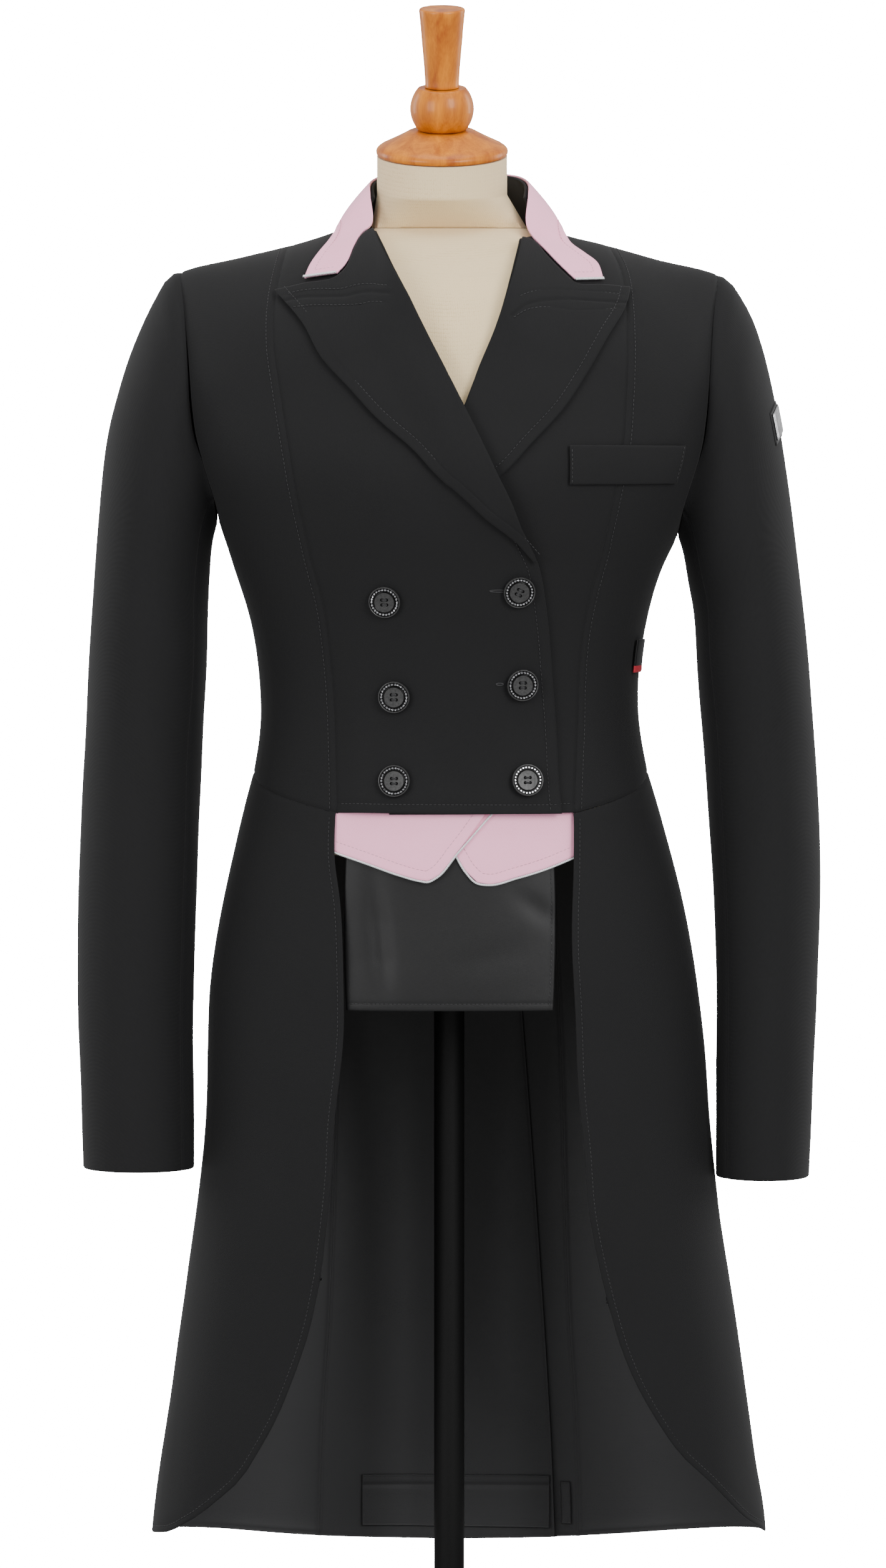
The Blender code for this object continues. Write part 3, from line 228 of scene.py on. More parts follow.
def cloth_material(name, dark, light, thread, slant, rough, sheen, sheen_rough, depth, specular=0.3):
    """Woven cloth: crossing threads in UV metres, with faint patches of shade and fuzz."""
    mat, shader = new_material(name, Roughness=rough, Sheen_Weight=sheen,
                               Sheen_Roughness=sheen_rough, Specular_IOR_Level=specular)
    uv = add_node(mat, "ShaderNodeTexCoord").outputs["UV"]
    warp = add_node(mat, "ShaderNodeMapping", {"Vector": uv, "Rotation": (0, 0, slant)})
    count = 2 * math.pi / 20 / thread
    ribs = add_node(mat, "ShaderNodeTexWave", {"Vector": warp.outputs["Vector"], "Scale": count,
                                               "Distortion": 0.6, "Detail": 1.0})
    weft = add_node(mat, "ShaderNodeTexWave", {"Vector": warp.outputs["Vector"],
                                               "Scale": count * 0.5, "Distortion": 0.6},
                    bands_direction="Y")
    threads = combine(mat, "MULTIPLY", ribs.outputs["Fac"], weft.outputs["Fac"])
    height = combine(mat, "ADD", threads, noise(mat, uv, 900.0, 3.0))
    shade = combine(mat, "ADD", noise(mat, uv, 14.0, 5.0), height)
    link(mat, colour_mix(mat, shade, dark, light, 0.6, 1.6), shader.inputs["Base Color"])
    relief(mat, shader, height, 0.35, depth)
    return mat


# Matt wool twill of the coat, its twill lines 0.7 mm apart
WOOL = cloth_material("wool_twill", "0A0A0B", "111112", 0.0007, math.radians(58), 0.8, 0.03, 0.5,
                      0.00012, 0.22)
# Black taffeta lining on the inside of every panel, and the satin of flap and patches
LINING = cloth_material("black_lining", "2C2C2D", "363637", 0.0005, 0.0, 0.6, 0.02, 0.4, 0.00005,
                        0.25)
SATIN = cloth_material("black_satin", "060607", "0C0C0D", 0.0004, math.radians(8), 0.52, 0.05, 0.3,
                       0.00005, 0.32)
# Pink twill of the collar and waistcoat points
PINK = cloth_material("pink_twill", "F49CBC", "FDB2CE", 0.0008, math.radians(55), 0.75, 0.2, 0.45,
                      0.0001)
# Cream knit of the dress form, with its rows of loops 1.6 mm apart
JERSEY = cloth_material("cream_jersey", "CDAF7E", "E4CDA2", 0.0016, 0.0, 0.85, 0.15, 0.5, 0.0003)


def simple_material(name, dark, light, scale, rough, metallic=0.0, bump=0.0, **constants):
    """A smooth finish whose colour and relief vary a little over the object's surface."""
    mat, shader = new_material(name, Roughness=rough, Metallic=metallic, **constants)
    place = add_node(mat, "ShaderNodeTexCoord").outputs["Object"]
    cloud = noise(mat, place, scale, 4.0)
    link(mat, colour_mix(mat, cloud, dark, light), shader.inputs["Base Color"])
    relief(mat, shader, cloud, 0.3, bump)
    return mat


BLACK_THREAD = simple_material("black_thread", "161617", "2A2A2C", 4000.0, 0.5, bump=0.00003)
# Button holes: near-black painted shade on shallow dishes, standing in for the depth of each hole
HOLE_SHADE = simple_material("button_hole_painted_shade", "020202", "060606", 4000.0, 0.8,
                       Specular_IOR_Level=0.1)
PINK_THREAD = simple_material("pink_thread", "CC93A5", "DDA9B9", 4000.0, 0.55, bump=0.00003)
SILVER = simple_material("silver_thread", "C4C4C9", "FFFFFF", 2600.0, 0.3, 0.35, 0.0001)
GUNMETAL = simple_material("gunmetal_satin", "3C3C3C", "4A4A4A", 700.0, 0.42, 0.75, 0.00002)
BLACK_METAL = simple_material("black_metal", "0A0A0A", "161616", 300.0, 0.28, 0.85, 0.00001)
# Jet crystals: black, with random near-white patches in the colour that are painted glints on the
# facets
CRYSTAL_GLINTS = simple_material("jet_crystal_painted_glints", "08080A", "F4F4F8", 1500.0, 0.06, 0.85, 0.0,
                          Specular_IOR_Level=1.0, Coat_Weight=1.0)
CHROME = simple_material("plate_metal", "9A9A9C", "C4C4C6", 200.0, 0.22, 0.95, 0.00001)
RED = simple_material("red_woven_end", "8E1522", "B32232", 2500.0, 0.7, bump=0.00005)
STEEL = simple_material("black_powder_coat", "080808", "0D0D0D", 1500.0, 0.6, 0.0, 0.00006,
                        Specular_IOR_Level=0.15)
SWEEP = simple_material("pale_floor", "F6F6F6", "FFFFFF", 3.0, 0.9, bump=0.0)
sweep_shader = SWEEP.node_tree.nodes["Principled BSDF"]
sweep_shader.inputs["Emission Color"].default_value = (1, 1, 1, 1)
sweep_shader.inputs["Emission Strength"].default_value = 30.0
sweep.data.materials.append(SWEEP)


def wood_material():
    """Varnished beech: long growth lines along Z, fine pores, and a clear coat."""
    mat, shader = new_material("varnished_beech", Roughness=0.42, Specular_IOR_Level=0.3,
                               Coat_Weight=0.15, Coat_Roughness=0.12)
    place = add_node(mat, "ShaderNodeTexCoord").outputs["Object"]
    long = add_node(mat, "ShaderNodeMapping", {"Vector": place, "Scale": (60.0, 60.0, 7.0)})
    grain = noise(mat, long.outputs["Vector"], 1.6, 6.0, Distortion=0.7)
    fine = add_node(mat, "ShaderNodeMapping", {"Vector": place, "Scale": (900.0, 900.0, 40.0)})
    pores = noise(mat, fine.outputs["Vector"], 1.0, 2.0)
    both = add_node(mat, "ShaderNodeMix", {"Factor": 0.22, "A": grain, "B": pores},
                    data_type="FLOAT")
    link(mat, colour_mix(mat, both.outputs["Result"], "9C4A02", "D8820A", 0.33, 0.68),
         shader.inputs["Base Color"])
    relief(mat, shader, pores, 0.2, 0.0001)
    return mat


BEECH = wood_material()

# Sizes shared with the solids
CLOTH = 1.8 * MM             # wall of the coat's cloth
THIN_CLOTH = 1.4 * MM        # wall of waistcoat points, flap and patches
LAY = 1.1 * MM               # gap between a piece and the panel it lies on
LAPEL_RISE = CLOTH + LAY     # how far a lapel's face stands above its front
LAPEL_LIFT = {"right": 0.8 * MM, "left": 0}
OVERLAP_RISE = CLOTH + 1.3 * MM
LAP_FROM = 62 * MM           # the right front stands clear of the left one inside this
ROLL_BAND = 46 * MM          # beside the roll line it rises once more, from this far out
ROLL_RAMP = 30 * MM
ROLL_FOOT = 795 * MM         # that second rise fades out between these heights
ROLL_TOP = 1000 * MM
ROLL_FADE = 90 * MM
HEM_CENTRE = 58.5 * MM       # height of the tails' hem at the centre back
HEM_RISE = 22 * MM           # how much higher the hem is at the side tips
HEM_POWER = 2.5
WAIST_BACK = 640 * MM        # height of the waist seam at the side-back seams
WAIST_SIDE = 634 * MM
UNDERARM = {"right": 815 * MM, "left": 805 * MM}
SECTION_POWER = 2.3          # exponent of the superelliptic body sections
FRONT_FALL = 90 * MM         # the shoulder rounds over within this drop in front
BACK_FALL = 75 * MM
RIDGE_DEPTH = 6 * MM         # normals turn upright this near the shoulder line
RIDGE_LIFT = 0.02
ARM_STEPS = 30               # rows from the shoulder tip to the underarm
SIDE_STEPS = 21              # rows from the underarm to the waist
TAIL_STEPS = 42              # rows from the waist to the tail hem
BACK_ARM_STEP = 21           # the side-back seam leaves the armhole at this row
SLEEVE_SEAM_STEP = 24        # the sleeve's seams leave the armhole at this row
SLEEVE_STEPS = 60
SHOULDER_POWER = 1.7         # rows lie closer towards the rounded shoulder
ROLL_POWER = 1.4
BASE_RADIUS = 180 * MM
BASE_HEIGHT = 12 * MM
POLE_RADIUS = 11 * MM
NECK_TILT = math.radians(12)


def table(columns, rows):
    """Give each named column of the rows as an array in metres."""
    values = np.array(rows, dtype=float) * MM
    return {name: values[:, i] for i, name in enumerate(columns.split())}


# Outer surface of the coat: reach to each side and depth before and behind
SECTIONS = table("height right left front back", (
    (50, 219, 233, 96, 118),
    (90, 216, 231, 96, 117),
    (136, 210, 223, 98, 115),
    (198, 201, 214, 100, 112),
    (266, 191, 204, 104, 112),
    (316, 184, 196, 107, 113),
    (380, 177, 189, 110, 115),
    (434, 176, 185, 113, 116),
    (488, 173, 179, 114, 113),
    (545, 163, 168, 111, 106),
    (605, 149, 152, 105, 96),
    (634, 142, 144, 101, 87),
    (672, 137, 138, 100, 78),
    (703, 138, 138, 103, 80),
    (742, 144, 143, 110, 88),
    (779, 155, 153, 119, 97),
    (815, 167, 170, 128, 105),
    (854, 187, 189, 132, 109),
    (896, 200, 201, 124, 110),
    (940, 208, 208, 112, 107),
    (980, 211, 211, 103, 98),
    (1030, 212, 212, 92, 84),
    (1080, 212, 212, 86, 78)))

# Height of the shoulder line at each distance from the centre
SHOULDER = table("across right left", (
    (0, 1075, 1075),
    (30, 1062, 1062),
    (50, 1036, 1036),
    (62, 1028, 1028),
    (84, 1021, 1021),
    (114, 1014, 1014),
    (153, 1005, 1003),
    (194, 995, 993),
    (215, 986, 984)))

# The armhole's reach as a share of the section's reach, from underarm to tip
ARMHOLE_RISE = np.array((0, 0.1, 0.22, 0.35, 0.45, 0.6, 0.85, 1.0))
ARMHOLE_SHARE = np.array((1, 0.965, 0.942, 0.935, 0.925, 0.91, 0.905, 0.918))
TIP_ACROSS = 194 * MM


def smooth(known, values, wanted):
    """Interpolate with cubic pieces whose slopes are finite differences."""
    slopes = np.gradient(values, known)
    index = np.clip(np.searchsorted(known, wanted) - 1, 0, len(known) - 2)
    width = known[index + 1] - known[index]
    t = np.clip((wanted - known[index]) / width, 0, 1)
    rise = values[index + 1] - values[index]
    start = slopes[index] * width
    end = slopes[index + 1] * width
    curve = start + t * (3 * rise - 2 * start - end + t * (start + end - 2 * rise))
    return values[index] + t * curve


def reach(side, height):
    return smooth(SECTIONS["height"], SECTIONS[side], height)


def shoulder_height(side, across):
    return smooth(SHOULDER["across"], SHOULDER[side], np.abs(across))


# Soft vertical folds of the hanging skirts: bearing, depth and spread
FOLDS = {
    "right": ((-0.95, 3.5, 0.20), (-1.95, -4.0, 0.24), (-2.45, 4.5, 0.22)),
    "left": ((0.98, 3.5, 0.18), (1.90, -4.0, 0.24), (2.50, 4.5, 0.22))}
FOLD_FROM = 600 * MM         # the folds start at this height and are full this far below it
FOLD_RAMP = 500 * MM
FOLD_POWER = 1.2


def fold_swell(bearing, height):
    """Add bell-shaped swells round the skirts that grow towards the hem."""
    growth = np.clip((FOLD_FROM - height) / FOLD_RAMP, 0, 1) ** FOLD_POWER
    swell = np.zeros_like(bearing)
    for folds in FOLDS.values():
        for middle, depth, spread in folds:
            swell = swell + depth * MM * bell(bearing - middle, spread)
    return growth * swell


def body(bearing, height):
    """Give points of the coat's outer surface.

    A bearing is measured from the front centre, positive to the wearer's left.
    The plan is a superellipse, and its depth shrinks to nothing at the shoulder line
    as the side view of a round does.
    """
    bearing, height = np.broadcast_arrays(np.asarray(bearing, float), np.asarray(height, float))
    sine = np.sin(bearing)
    cosine = np.cos(bearing)
    power = 2 / SECTION_POWER
    wide = np.where(sine < 0, reach("right", height), reach("left", height))
    across = np.sign(sine) * np.abs(sine) ** power * wide
    ahead = cosine >= 0
    deep = np.where(ahead, smooth(SECTIONS["height"], SECTIONS["front"], height),
                    smooth(SECTIONS["height"], SECTIONS["back"], height))
    top = np.where(sine < 0, shoulder_height("right", across), shoulder_height("left", across))
    drop = np.clip((top - height) / np.where(ahead, FRONT_FALL, BACK_FALL), 0, 1)
    rounding = np.sqrt(1 - (1 - drop) ** 2)
    along = -np.sign(cosine) * np.abs(cosine) ** power * deep * rounding
    out = 1 + fold_swell(bearing, height) / np.hypot(across, along).clip(0.02)
    return np.stack((across * out, along * out, height), axis=-1)


def front_bearing(across, height):
    """Give the bearing of front points from their place across the coat."""
    across = np.asarray(across, float)
    wide = np.where(across < 0, reach("right", height), reach("left", height))
    share = np.clip(np.abs(across) / wide, 0, 1) ** (SECTION_POWER / 2)
    return np.sign(across) * np.arcsin(share)


def back_bearing(side, across, height):
    """Give the bearing of back points, counted round from the given side."""
    return SIGN[side] * math.pi - front_bearing(across, height)


def plan_at(side, behind, across, height):
    """Give (bearing, height) of points before or behind, from their distance to one side."""
    signed = SIGN[side] * across
    bearing = back_bearing(side, signed, height) if behind else front_bearing(signed, height)
    return np.stack((bearing, height), axis=-1)


def lengths_along(points, axis=0):
    """Give how far each point lies along its line of a grid."""
    steps = np.linalg.norm(np.diff(points, axis=axis), axis=-1)
    zero = np.zeros_like(np.take(steps, [0], axis=axis))
    return np.concatenate((zero, np.cumsum(steps, axis=axis)), axis=axis)


def trace(points, steps, start_power=1.0):
    """Sample a smooth curve through the points, with closer steps at its start."""
    points = np.array(points, dtype=float)
    lengths = lengths_along(points)
    at = np.linspace(0, 1, steps + 1) ** start_power * lengths[-1]
    return np.stack([smooth(lengths, points[:, i], at) for i in range(points.shape[1])], axis=-1)


def chain(*runs):
    """Join sampled runs whose ends meet."""
    return np.concatenate([runs[0]] + [run[1:] for run in runs[1:]])


def on_front(side, points, steps, start_power=1.0):
    """Sample a front line given as (distance from the centre, height) in millimetres."""
    return plan_at(side, False, *trace(np.array(points) * MM, steps, start_power).T)


def on_back(side, points, steps, start_power=1.0):
    """Sample a back line, given like a front one."""
    return plan_at(side, True, *trace(np.array(points) * MM, steps, start_power).T)


def by_height(side, points, heights):
    """Sample a back line, given as (distance, height), at the wanted heights in metres."""
    points = np.array(points, dtype=float) * MM
    return plan_at(side, True, smooth(-points[:, 1], points[:, 0], -heights), heights)


def span(first, last, steps):
    """Sample a straight run between two (bearing, height) points."""
    t = np.linspace(0, 1, steps + 1)[:, None]
    return (1 - t) * np.asarray(first) + t * np.asarray(last)


def patch(outer, inner, top, bottom):
    """Fill four (bearing, height) lines with a grid, each line blended into the next."""
    u = (outer[:, 1] - outer[0, 1]) / (outer[-1, 1] - outer[0, 1])
    u = (u + (inner[:, 1] - inner[0, 1]) / (inner[-1, 1] - inner[0, 1])) / 2
    v = np.linspace(0, 1, len(top))
    u = u[:, None, None]
    v = v[None, :, None]
    sides = (1 - v) * outer[:, None] + v * inner[:, None]
    ends = (1 - u) * top[None] + u * bottom[None]
    corners = ((1 - u) * ((1 - v) * outer[0] + v * inner[0])
               + u * ((1 - v) * outer[-1] + v * inner[-1]))
    return sides + ends - corners


def four_corners(corners, rows, columns):
    """Fill four corners with a grid: two of its top edge, then two of its foot."""
    near, far, near_foot, far_foot = corners
    return patch(span(near, near_foot, rows), span(far, far_foot, rows),
                 span(near, far, columns), span(near_foot, far_foot, columns))


def body_normals(plan):
    """Give the body's outward normals at (bearing, height) points.

    On the shoulder line the front and back share one upright normal.
    """
    bearing = plan[..., 0]
    height = plan[..., 1]
    turn = 0.004
    step = 0.5 * MM
    round_ = body(bearing + turn, height) - body(bearing - turn, height)
    rise = body(bearing, height + step) - body(bearing, height - step)
    normals = unit(np.cross(round_, rise))
    ridge = np.clip(np.abs(body(bearing, height)[..., 1]) / RIDGE_DEPTH, 0, 1)
    normals[..., 1] *= ridge
    normals[..., 2] += RIDGE_LIFT * (1 - ridge)
    return unit(normals)


def raised(plan, rise):
    """Give body points moved out along their normals by one rise or one a point."""
    return body(plan[..., 0], plan[..., 1]) + body_normals(plan) * np.asarray(rise)[..., None]


# Seam lines, as (distance from the centre, height)
PRINCESS = {
    "right": ((117, 1012.7), (120, 1001), (124, 982), (125.7, 945.5), (121, 910),
              (115, 873.7), (107.6, 829), (98.5, 787), (90, 754), (86, 723), (83, 689),
              (81.4, 652), (80.5, 609)),
    "left": ((116, 1013), (122.5, 998), (126.6, 971), (127.5, 945.5), (126.6, 908),
             (124.3, 873), (119.3, 844), (109, 794), (101.7, 767), (96.3, 740),
             (93, 704), (92.2, 668), (90.9, 638), (89.5, 609))}
SIDE_BACK = ((150, 848), (125, 828), (107, 804), (90, 765), (75, 710), (69, 672), (68, 640))
TAIL_SEAM = ((68, 640), (75, 560), (82, 450), (86, 300), (89, 217), (93, 157), (96, 65))
NECK_POINT = (75.5, 1023.7)
NECK_FRONT = {"right": (51, 1022), "left": (51, 1018.6)}


def armhole(side, step, back=False):
    """Give the bearing and height of the armhole at a step down from its tip."""
    tip = shoulder_height(side, TIP_ACROSS)
    rise = (1 + math.cos(math.pi * step / ARM_STEPS)) / 2
    height = UNDERARM[side] + (tip - UNDERARM[side]) * rise
    share = smooth(ARMHOLE_RISE, ARMHOLE_SHARE, np.array([rise]))[0]
    if rise < 1e-6:
        return np.array((SIGN[side] * math.pi / 2, height))
    return plan_at(side, back, share * reach(side, np.array([height]))[0], height)


def princess(side):
    """The seam from the shoulder to the waist, with a row at the underarm's height."""
    points = np.array(PRINCESS[side], float)
    low = UNDERARM[side] / MM
    across = np.interp(-low, -points[:, 1], points[:, 0])
    upper = [tuple(p) for p in points if p[1] > low + 3] + [(across, low)]
    lower = [(across, low)] + [tuple(p) for p in points if p[1] < low - 3]
    return chain(on_front(side, upper, ARM_STEPS, SHOULDER_POWER),
                 on_front(side, lower, SIDE_STEPS))


def shoulder_run(side, far, near, steps, back=False):
    """The shoulder seam between two distances from the centre."""
    across = np.linspace(far, near, steps + 1)
    return plan_at(side, back, across, shoulder_height(side, across))


def side_front_grid(side):
    edge = SIGN[side] * math.pi / 2
    down = [armhole(side, k) for k in range(ARM_STEPS + 1)]
    outer = chain(np.array(down), span(down[-1], (edge, WAIST_SIDE), SIDE_STEPS))
    inner = princess(side)
    columns = 15
    top = shoulder_run(side, TIP_ACROSS, PRINCESS[side][0][0] * MM, columns)
    top[0] = outer[0]
    inner[0] = top[-1]
    return patch(outer, inner, top, span(outer[-1], inner[-1], columns))


# Roll line and edge of each front, in runs from the neck to the hem
ROLL = {
    "right": ((51, 1022), (48, 1016.5), (38.9, 998), (19, 956), (7.7, 933), (-9.5, 899),
              (-32, 854), (-44.3, 829), (-49.5, 815)),
    "left": ((51, 1018.6), (45.7, 998), (32, 953), (20.8, 926), (10.4, 899), (-8, 849),
             (-22, 805))}
FRONT_EDGE = {
    "right": ((-61.6, 790), (-64, 782), (-67, 764.5), (-69.7, 743), (-72.5, 707),
              (-75.5, 670), (-78, 624), (-79.5, 608)),
    "left": ((-28, 785), (-36, 755), (-41, 701), (-43, 608))}


def front_grid(side):
    outer = princess(side)
    edge = FRONT_EDGE[side]
    turn = (ROLL[side][-1], edge[0])
    inner = chain(on_front(side, ROLL[side], ARM_STEPS, ROLL_POWER), on_front(side, turn, 1),
                  on_front(side, edge, SIDE_STEPS - 1))
    shoulder_columns = 12
    neck_columns = 12
    seam = shoulder_run(side, PRINCESS[side][0][0] * MM, NECK_POINT[0] * MM, shoulder_columns)
    neck = on_front(side, (NECK_POINT, NECK_FRONT[side]), neck_columns)
    neck[0] = seam[-1]
    outer[0] = seam[0]
    inner[0] = neck[-1]
    bottom = span(outer[-1], inner[-1], shoulder_columns + neck_columns)
    return patch(outer, inner, chain(seam, neck), bottom)


def eased(t):
    """Turn an even 0 to 1 ramp into one with level ends."""
    return t * t * (3 - 2 * t)


def overlap_rise(grid):
    """How far the right front stands above the body where it laps over the left one.

    It rises from the princess seam to the lap, and once more beside the roll line,
    where the left lapel goes under it.
    """
    across = -body(grid[..., 0], grid[..., 1])[..., 0]
    height = grid[..., 1]
    seam = np.array(PRINCESS["right"], float) * MM
    start = np.interp(-height, -seam[:, 1], seam[:, 0])
    ramp = np.clip((start - across) / (start - LAP_FROM), 0, 1)
    roll = np.array(ROLL["right"] + FRONT_EDGE["right"], float) * MM
    edge = np.interp(-height, -roll[:, 1], roll[:, 0])
    near = np.clip((ROLL_BAND - (across - edge)) / ROLL_RAMP, 0, 1)
    band = np.clip((height - ROLL_FOOT) / ROLL_RAMP, 0, 1)
    band = band * np.clip((ROLL_TOP - height) / ROLL_FADE, 0, 1)
    return OVERLAP_RISE * (eased(ramp) + eased(near) * eased(band))


def hem_height(side, bearing):
    """The hem is lowest at the centre back and rises to the tips at the sides."""
    point = body(bearing, np.full_like(bearing, HEM_CENTRE))
    share = np.abs(point[..., 0]) / reach(side, np.array([HEM_CENTRE]))[0]
    return HEM_CENTRE + HEM_RISE * np.clip(share, 0, 1) ** HEM_POWER


def side_back_seam(side):
    start = armhole(side, BACK_ARM_STEP, True)
    lower = on_back(side, SIDE_BACK, 60)
    line = np.concatenate(([start], lower))
    weight = np.array((0.1, 1))     # rows go by height, and a little by bearing
    return trace(line * weight, SIDE_STEPS) / weight


def side_back_grid(side):
    edge = SIGN[side] * math.pi / 2
    steps = range(ARM_STEPS, BACK_ARM_STEP - 1, -1)
    top = np.array([armhole(side, k, True) for k in steps])
    outer = span(top[0], (edge, WAIST_SIDE), SIDE_STEPS)
    inner = side_back_seam(side)
    return patch(outer, inner, top, span(outer[-1], inner[-1], len(top) - 1))


TAIL_HEIGHTS = np.linspace(WAIST_BACK, HEM_CENTRE, TAIL_STEPS + 1)


def tail_seam(side):
    line = by_height(side, TAIL_SEAM, TAIL_HEIGHTS)
    line[-1, 1] = hem_height(side, line[-1:, 0])[0]
    return line


# The lapped vent: how far the right tail reaches past the centre back
VENT = ((0, 640), (16, 600), (49, 560), (54, 460), (60, 380), (68, 266), (76, 136), (79, 60))
VENT_GAP = 1.0 * MM         # room between the two tails where they lap
VENT_FROM = -30 * MM        # the right tail sinks behind the left one past here
VENT_RAMP = 24 * MM
VENT_TOP = 668 * MM
VENT_FADE = 25 * MM


def back_grid(side):
    """A back cut in one with its tail, from the shoulder to the hem."""
    down = np.array([armhole(side, k, True) for k in range(BACK_ARM_STEP + 1)])
    seam = side_back_seam(side)
    outer = chain(down, seam, tail_seam(side))
    centre_top = 1030
    upper = on_back(side, ((0, centre_top), (0, 866)), BACK_ARM_STEP, SHOULDER_POWER)
    lower = on_back(side, ((0, 866), (0, WAIST_BACK / MM)), SIDE_STEPS)
    edge = [(-across, height) for across, height in VENT]
    if side == "left":
        edge = [(0, height) for across, height in VENT]
    tail = by_height(side, edge, TAIL_HEIGHTS)
    inner = chain(upper, lower, tail)
    columns = 21
    shoulder_columns = 12
    shoulder = shoulder_run(side, TIP_ACROSS, NECK_POINT[0] * MM, shoulder_columns, True)
    neck_points = (NECK_POINT, (50, 1024), (25, 1028.5), (0, centre_top))
    neck = on_back(side, neck_points, columns - shoulder_columns)
    neck[0] = shoulder[-1]
    top = chain(shoulder, neck)
    top[0] = outer[0]
    bottom = span(outer[-1], inner[-1], columns)
    bottom[:, 1] = hem_height(side, bottom[:, 0])
    inner[-1] = bottom[-1]
    return patch(outer, inner, top, bottom)


def vent_drop(grid):
    """How far the right tail lies inside the left one beyond the centre back."""
    points = body(grid[..., 0], grid[..., 1])
    ramp = np.clip((points[..., 0] - VENT_FROM) / VENT_RAMP, 0, 1)
    band = np.clip((VENT_TOP - grid[..., 1]) / VENT_FADE, 0, 1)
    return -(CLOTH + VENT_GAP) * eased(ramp) * band


# Cutaway edge of each skirt: the upright run, then the rounded corner to the side tip
CUTAWAY = {
    "right": ((81.5, 609), (82, 578), (78, 546), (75.5, 490), (75.5, 450), (79, 414),
              (82, 388), (84.5, 347), (88, 312), (92.7, 275)),
    "left": ((89, 608), (88.5, 566), (87.3, 526), (90, 464), (92.2, 411), (96.3, 369),
             (100, 322), (105.8, 291), (113.9, 257))}
CORNER = {
    "right": ((92.7, 275), (101.7, 233), (112, 203), (124, 173), (138, 147), (148, 130),
              (162, 115), (181, 98), (203, 85.5)),
    "left": ((113.9, 257), (124.3, 222), (134.7, 197), (149, 171), (167, 144), (184, 126),
             (198, 110), (212, 97), (223, 89.5))}


def skirt_grid(side):
    """A skirt from the waist seam, with its front corner cut away in a round."""
    columns = 27
    hem_columns = 9
    outer = on_front(side, CUTAWAY[side], TAIL_STEPS)
    inner = tail_seam(side)
    edge = SIGN[side] * math.pi / 2
    corner = on_front(side, CORNER[side], columns - hem_columns - 1)
    tip = (edge, HEM_CENTRE + HEM_RISE)
    hem = span(tip, inner[-1], hem_columns)
    hem[:, 1] = hem_height(side, hem[:, 0])
    bottom = chain(corner, np.array((corner[-1], hem[0])), hem)
    front_half = span(outer[0], (edge, WAIST_SIDE), 15)
    top = chain(front_half, span((edge, WAIST_SIDE), inner[0], columns - 15))
    return patch(outer, inner, top, bottom)


# A panel of cloth. Its outer face is a grid of points, its seams sink in and its free
# edges round off, rows of topstitching dent it, and Solidify gives the wall with lining.
THREADS = {"black": [], "pink": []}
SEAM_LINES = (0, 0.5, 1.1, 2.0, 3.2)      # extra grid lines beside an edge, in mm
STITCH_PITCH = 3.1 * MM
STITCH_LENGTH = 2.2 * MM
STITCH_RADIUS = 0.26 * MM
STITCH_SHORTEST = 0.5 * MM
CORNER_CLEAR = 0.94         # round a corner, stitches nearer the edge than this share go
TUCK = 0.34 * MM            # a sewn edge reaches this far under its neighbour's
STITCH_DENT = 0.28          # a row of stitches sinks in this far, in mm
STITCH_SPREAD = 0.8
SEAM_DENTS = ((0.75, 1.5), (0.25, 5.0))   # depths and widths in mm of the dip at a seam
EDGE_DENTS = ((0.45, 0.6),)               # the same at a free edge, which rounds off


def spacing(length, rows, insets):
    """Give line positions along a length, closer beside both ends and the stitch rows."""
    marks = set(SEAM_LINES)
    for inset in insets:
        marks.update((inset - 1.0, inset, inset + 1.0))
    near = np.array(sorted(marks)) * MM
    near = near[near < length * 0.45]
    middle = np.linspace(near[-1], length - near[-1], max(rows - len(near), 6))
    return np.concatenate((near, middle[1:-1], length - near[::-1])) / length


def resampled(values, at, axis):
    """Read a grid's lines at new shares of its own index range, with cubic pieces."""
    values = np.moveaxis(values, axis, 0)
    index = np.arange(len(values), dtype=float)
    flat = values.reshape(len(values), -1)
    wanted = at * (len(values) - 1)
    fine = np.stack([smooth(index, flat[:, k], wanted) for k in range(flat.shape[1])], axis=-1)
    return np.moveaxis(fine.reshape((len(at),) + values.shape[1:]), 0, axis)


def line_shares(points, axis, rows, insets):
    """Turn wanted distances along a grid's axis into shares of its index range."""
    along = lengths_along(points, axis).mean(axis=1 - axis)
    at = spacing(along[-1], rows, insets) * along[-1]
    return np.interp(at, along, np.linspace(0, 1, len(along)))


def cloth_waves(points):
    """Give the slight hollows and swells of pressed wool, in metres, at the points."""
    x, y, z = np.moveaxis(points / MM, -1, 0)
    waves = (0.35 * np.sin(x / 23 + 0.8 * np.sin(z / 61) + y / 31)
             + 0.30 * np.sin(z / 37 - x / 49 + 1.3) + 0.22 * np.sin((x + z) / 17.0 + y / 13)
             * np.sin(z / 83))
    return waves * MM


EDGES = {"left": (1, 0), "right": (1, -1), "top": (0, 0), "foot": (0, -1)}


def edge_chain(points, edges):
    """Give the points of an edge, or of edges joined by + in their order round the grid.

    Left runs down, foot runs from left to right, right runs up and top runs back.
    """
    runs = {"left": points[:, 0], "foot": points[-1], "right": points[::-1, -1],
            "top": points[0, ::-1]}
    return np.concatenate([runs[edge] for edge in edges.split("+")])


def line_distance(points, line):
    """Give each point's distance from a polyline."""
    step = line[1:] - line[:-1]
    keep = np.linalg.norm(step, axis=-1) > 1e-7
    start = line[:-1][keep]
    step = step[keep]
    gap = points[..., None, :] - start
    share = np.clip(np.sum(gap * step, axis=-1) / np.sum(step * step, axis=-1), 0, 1)
    return np.linalg.norm(gap - share[..., None] * step, axis=-1).min(axis=-1)


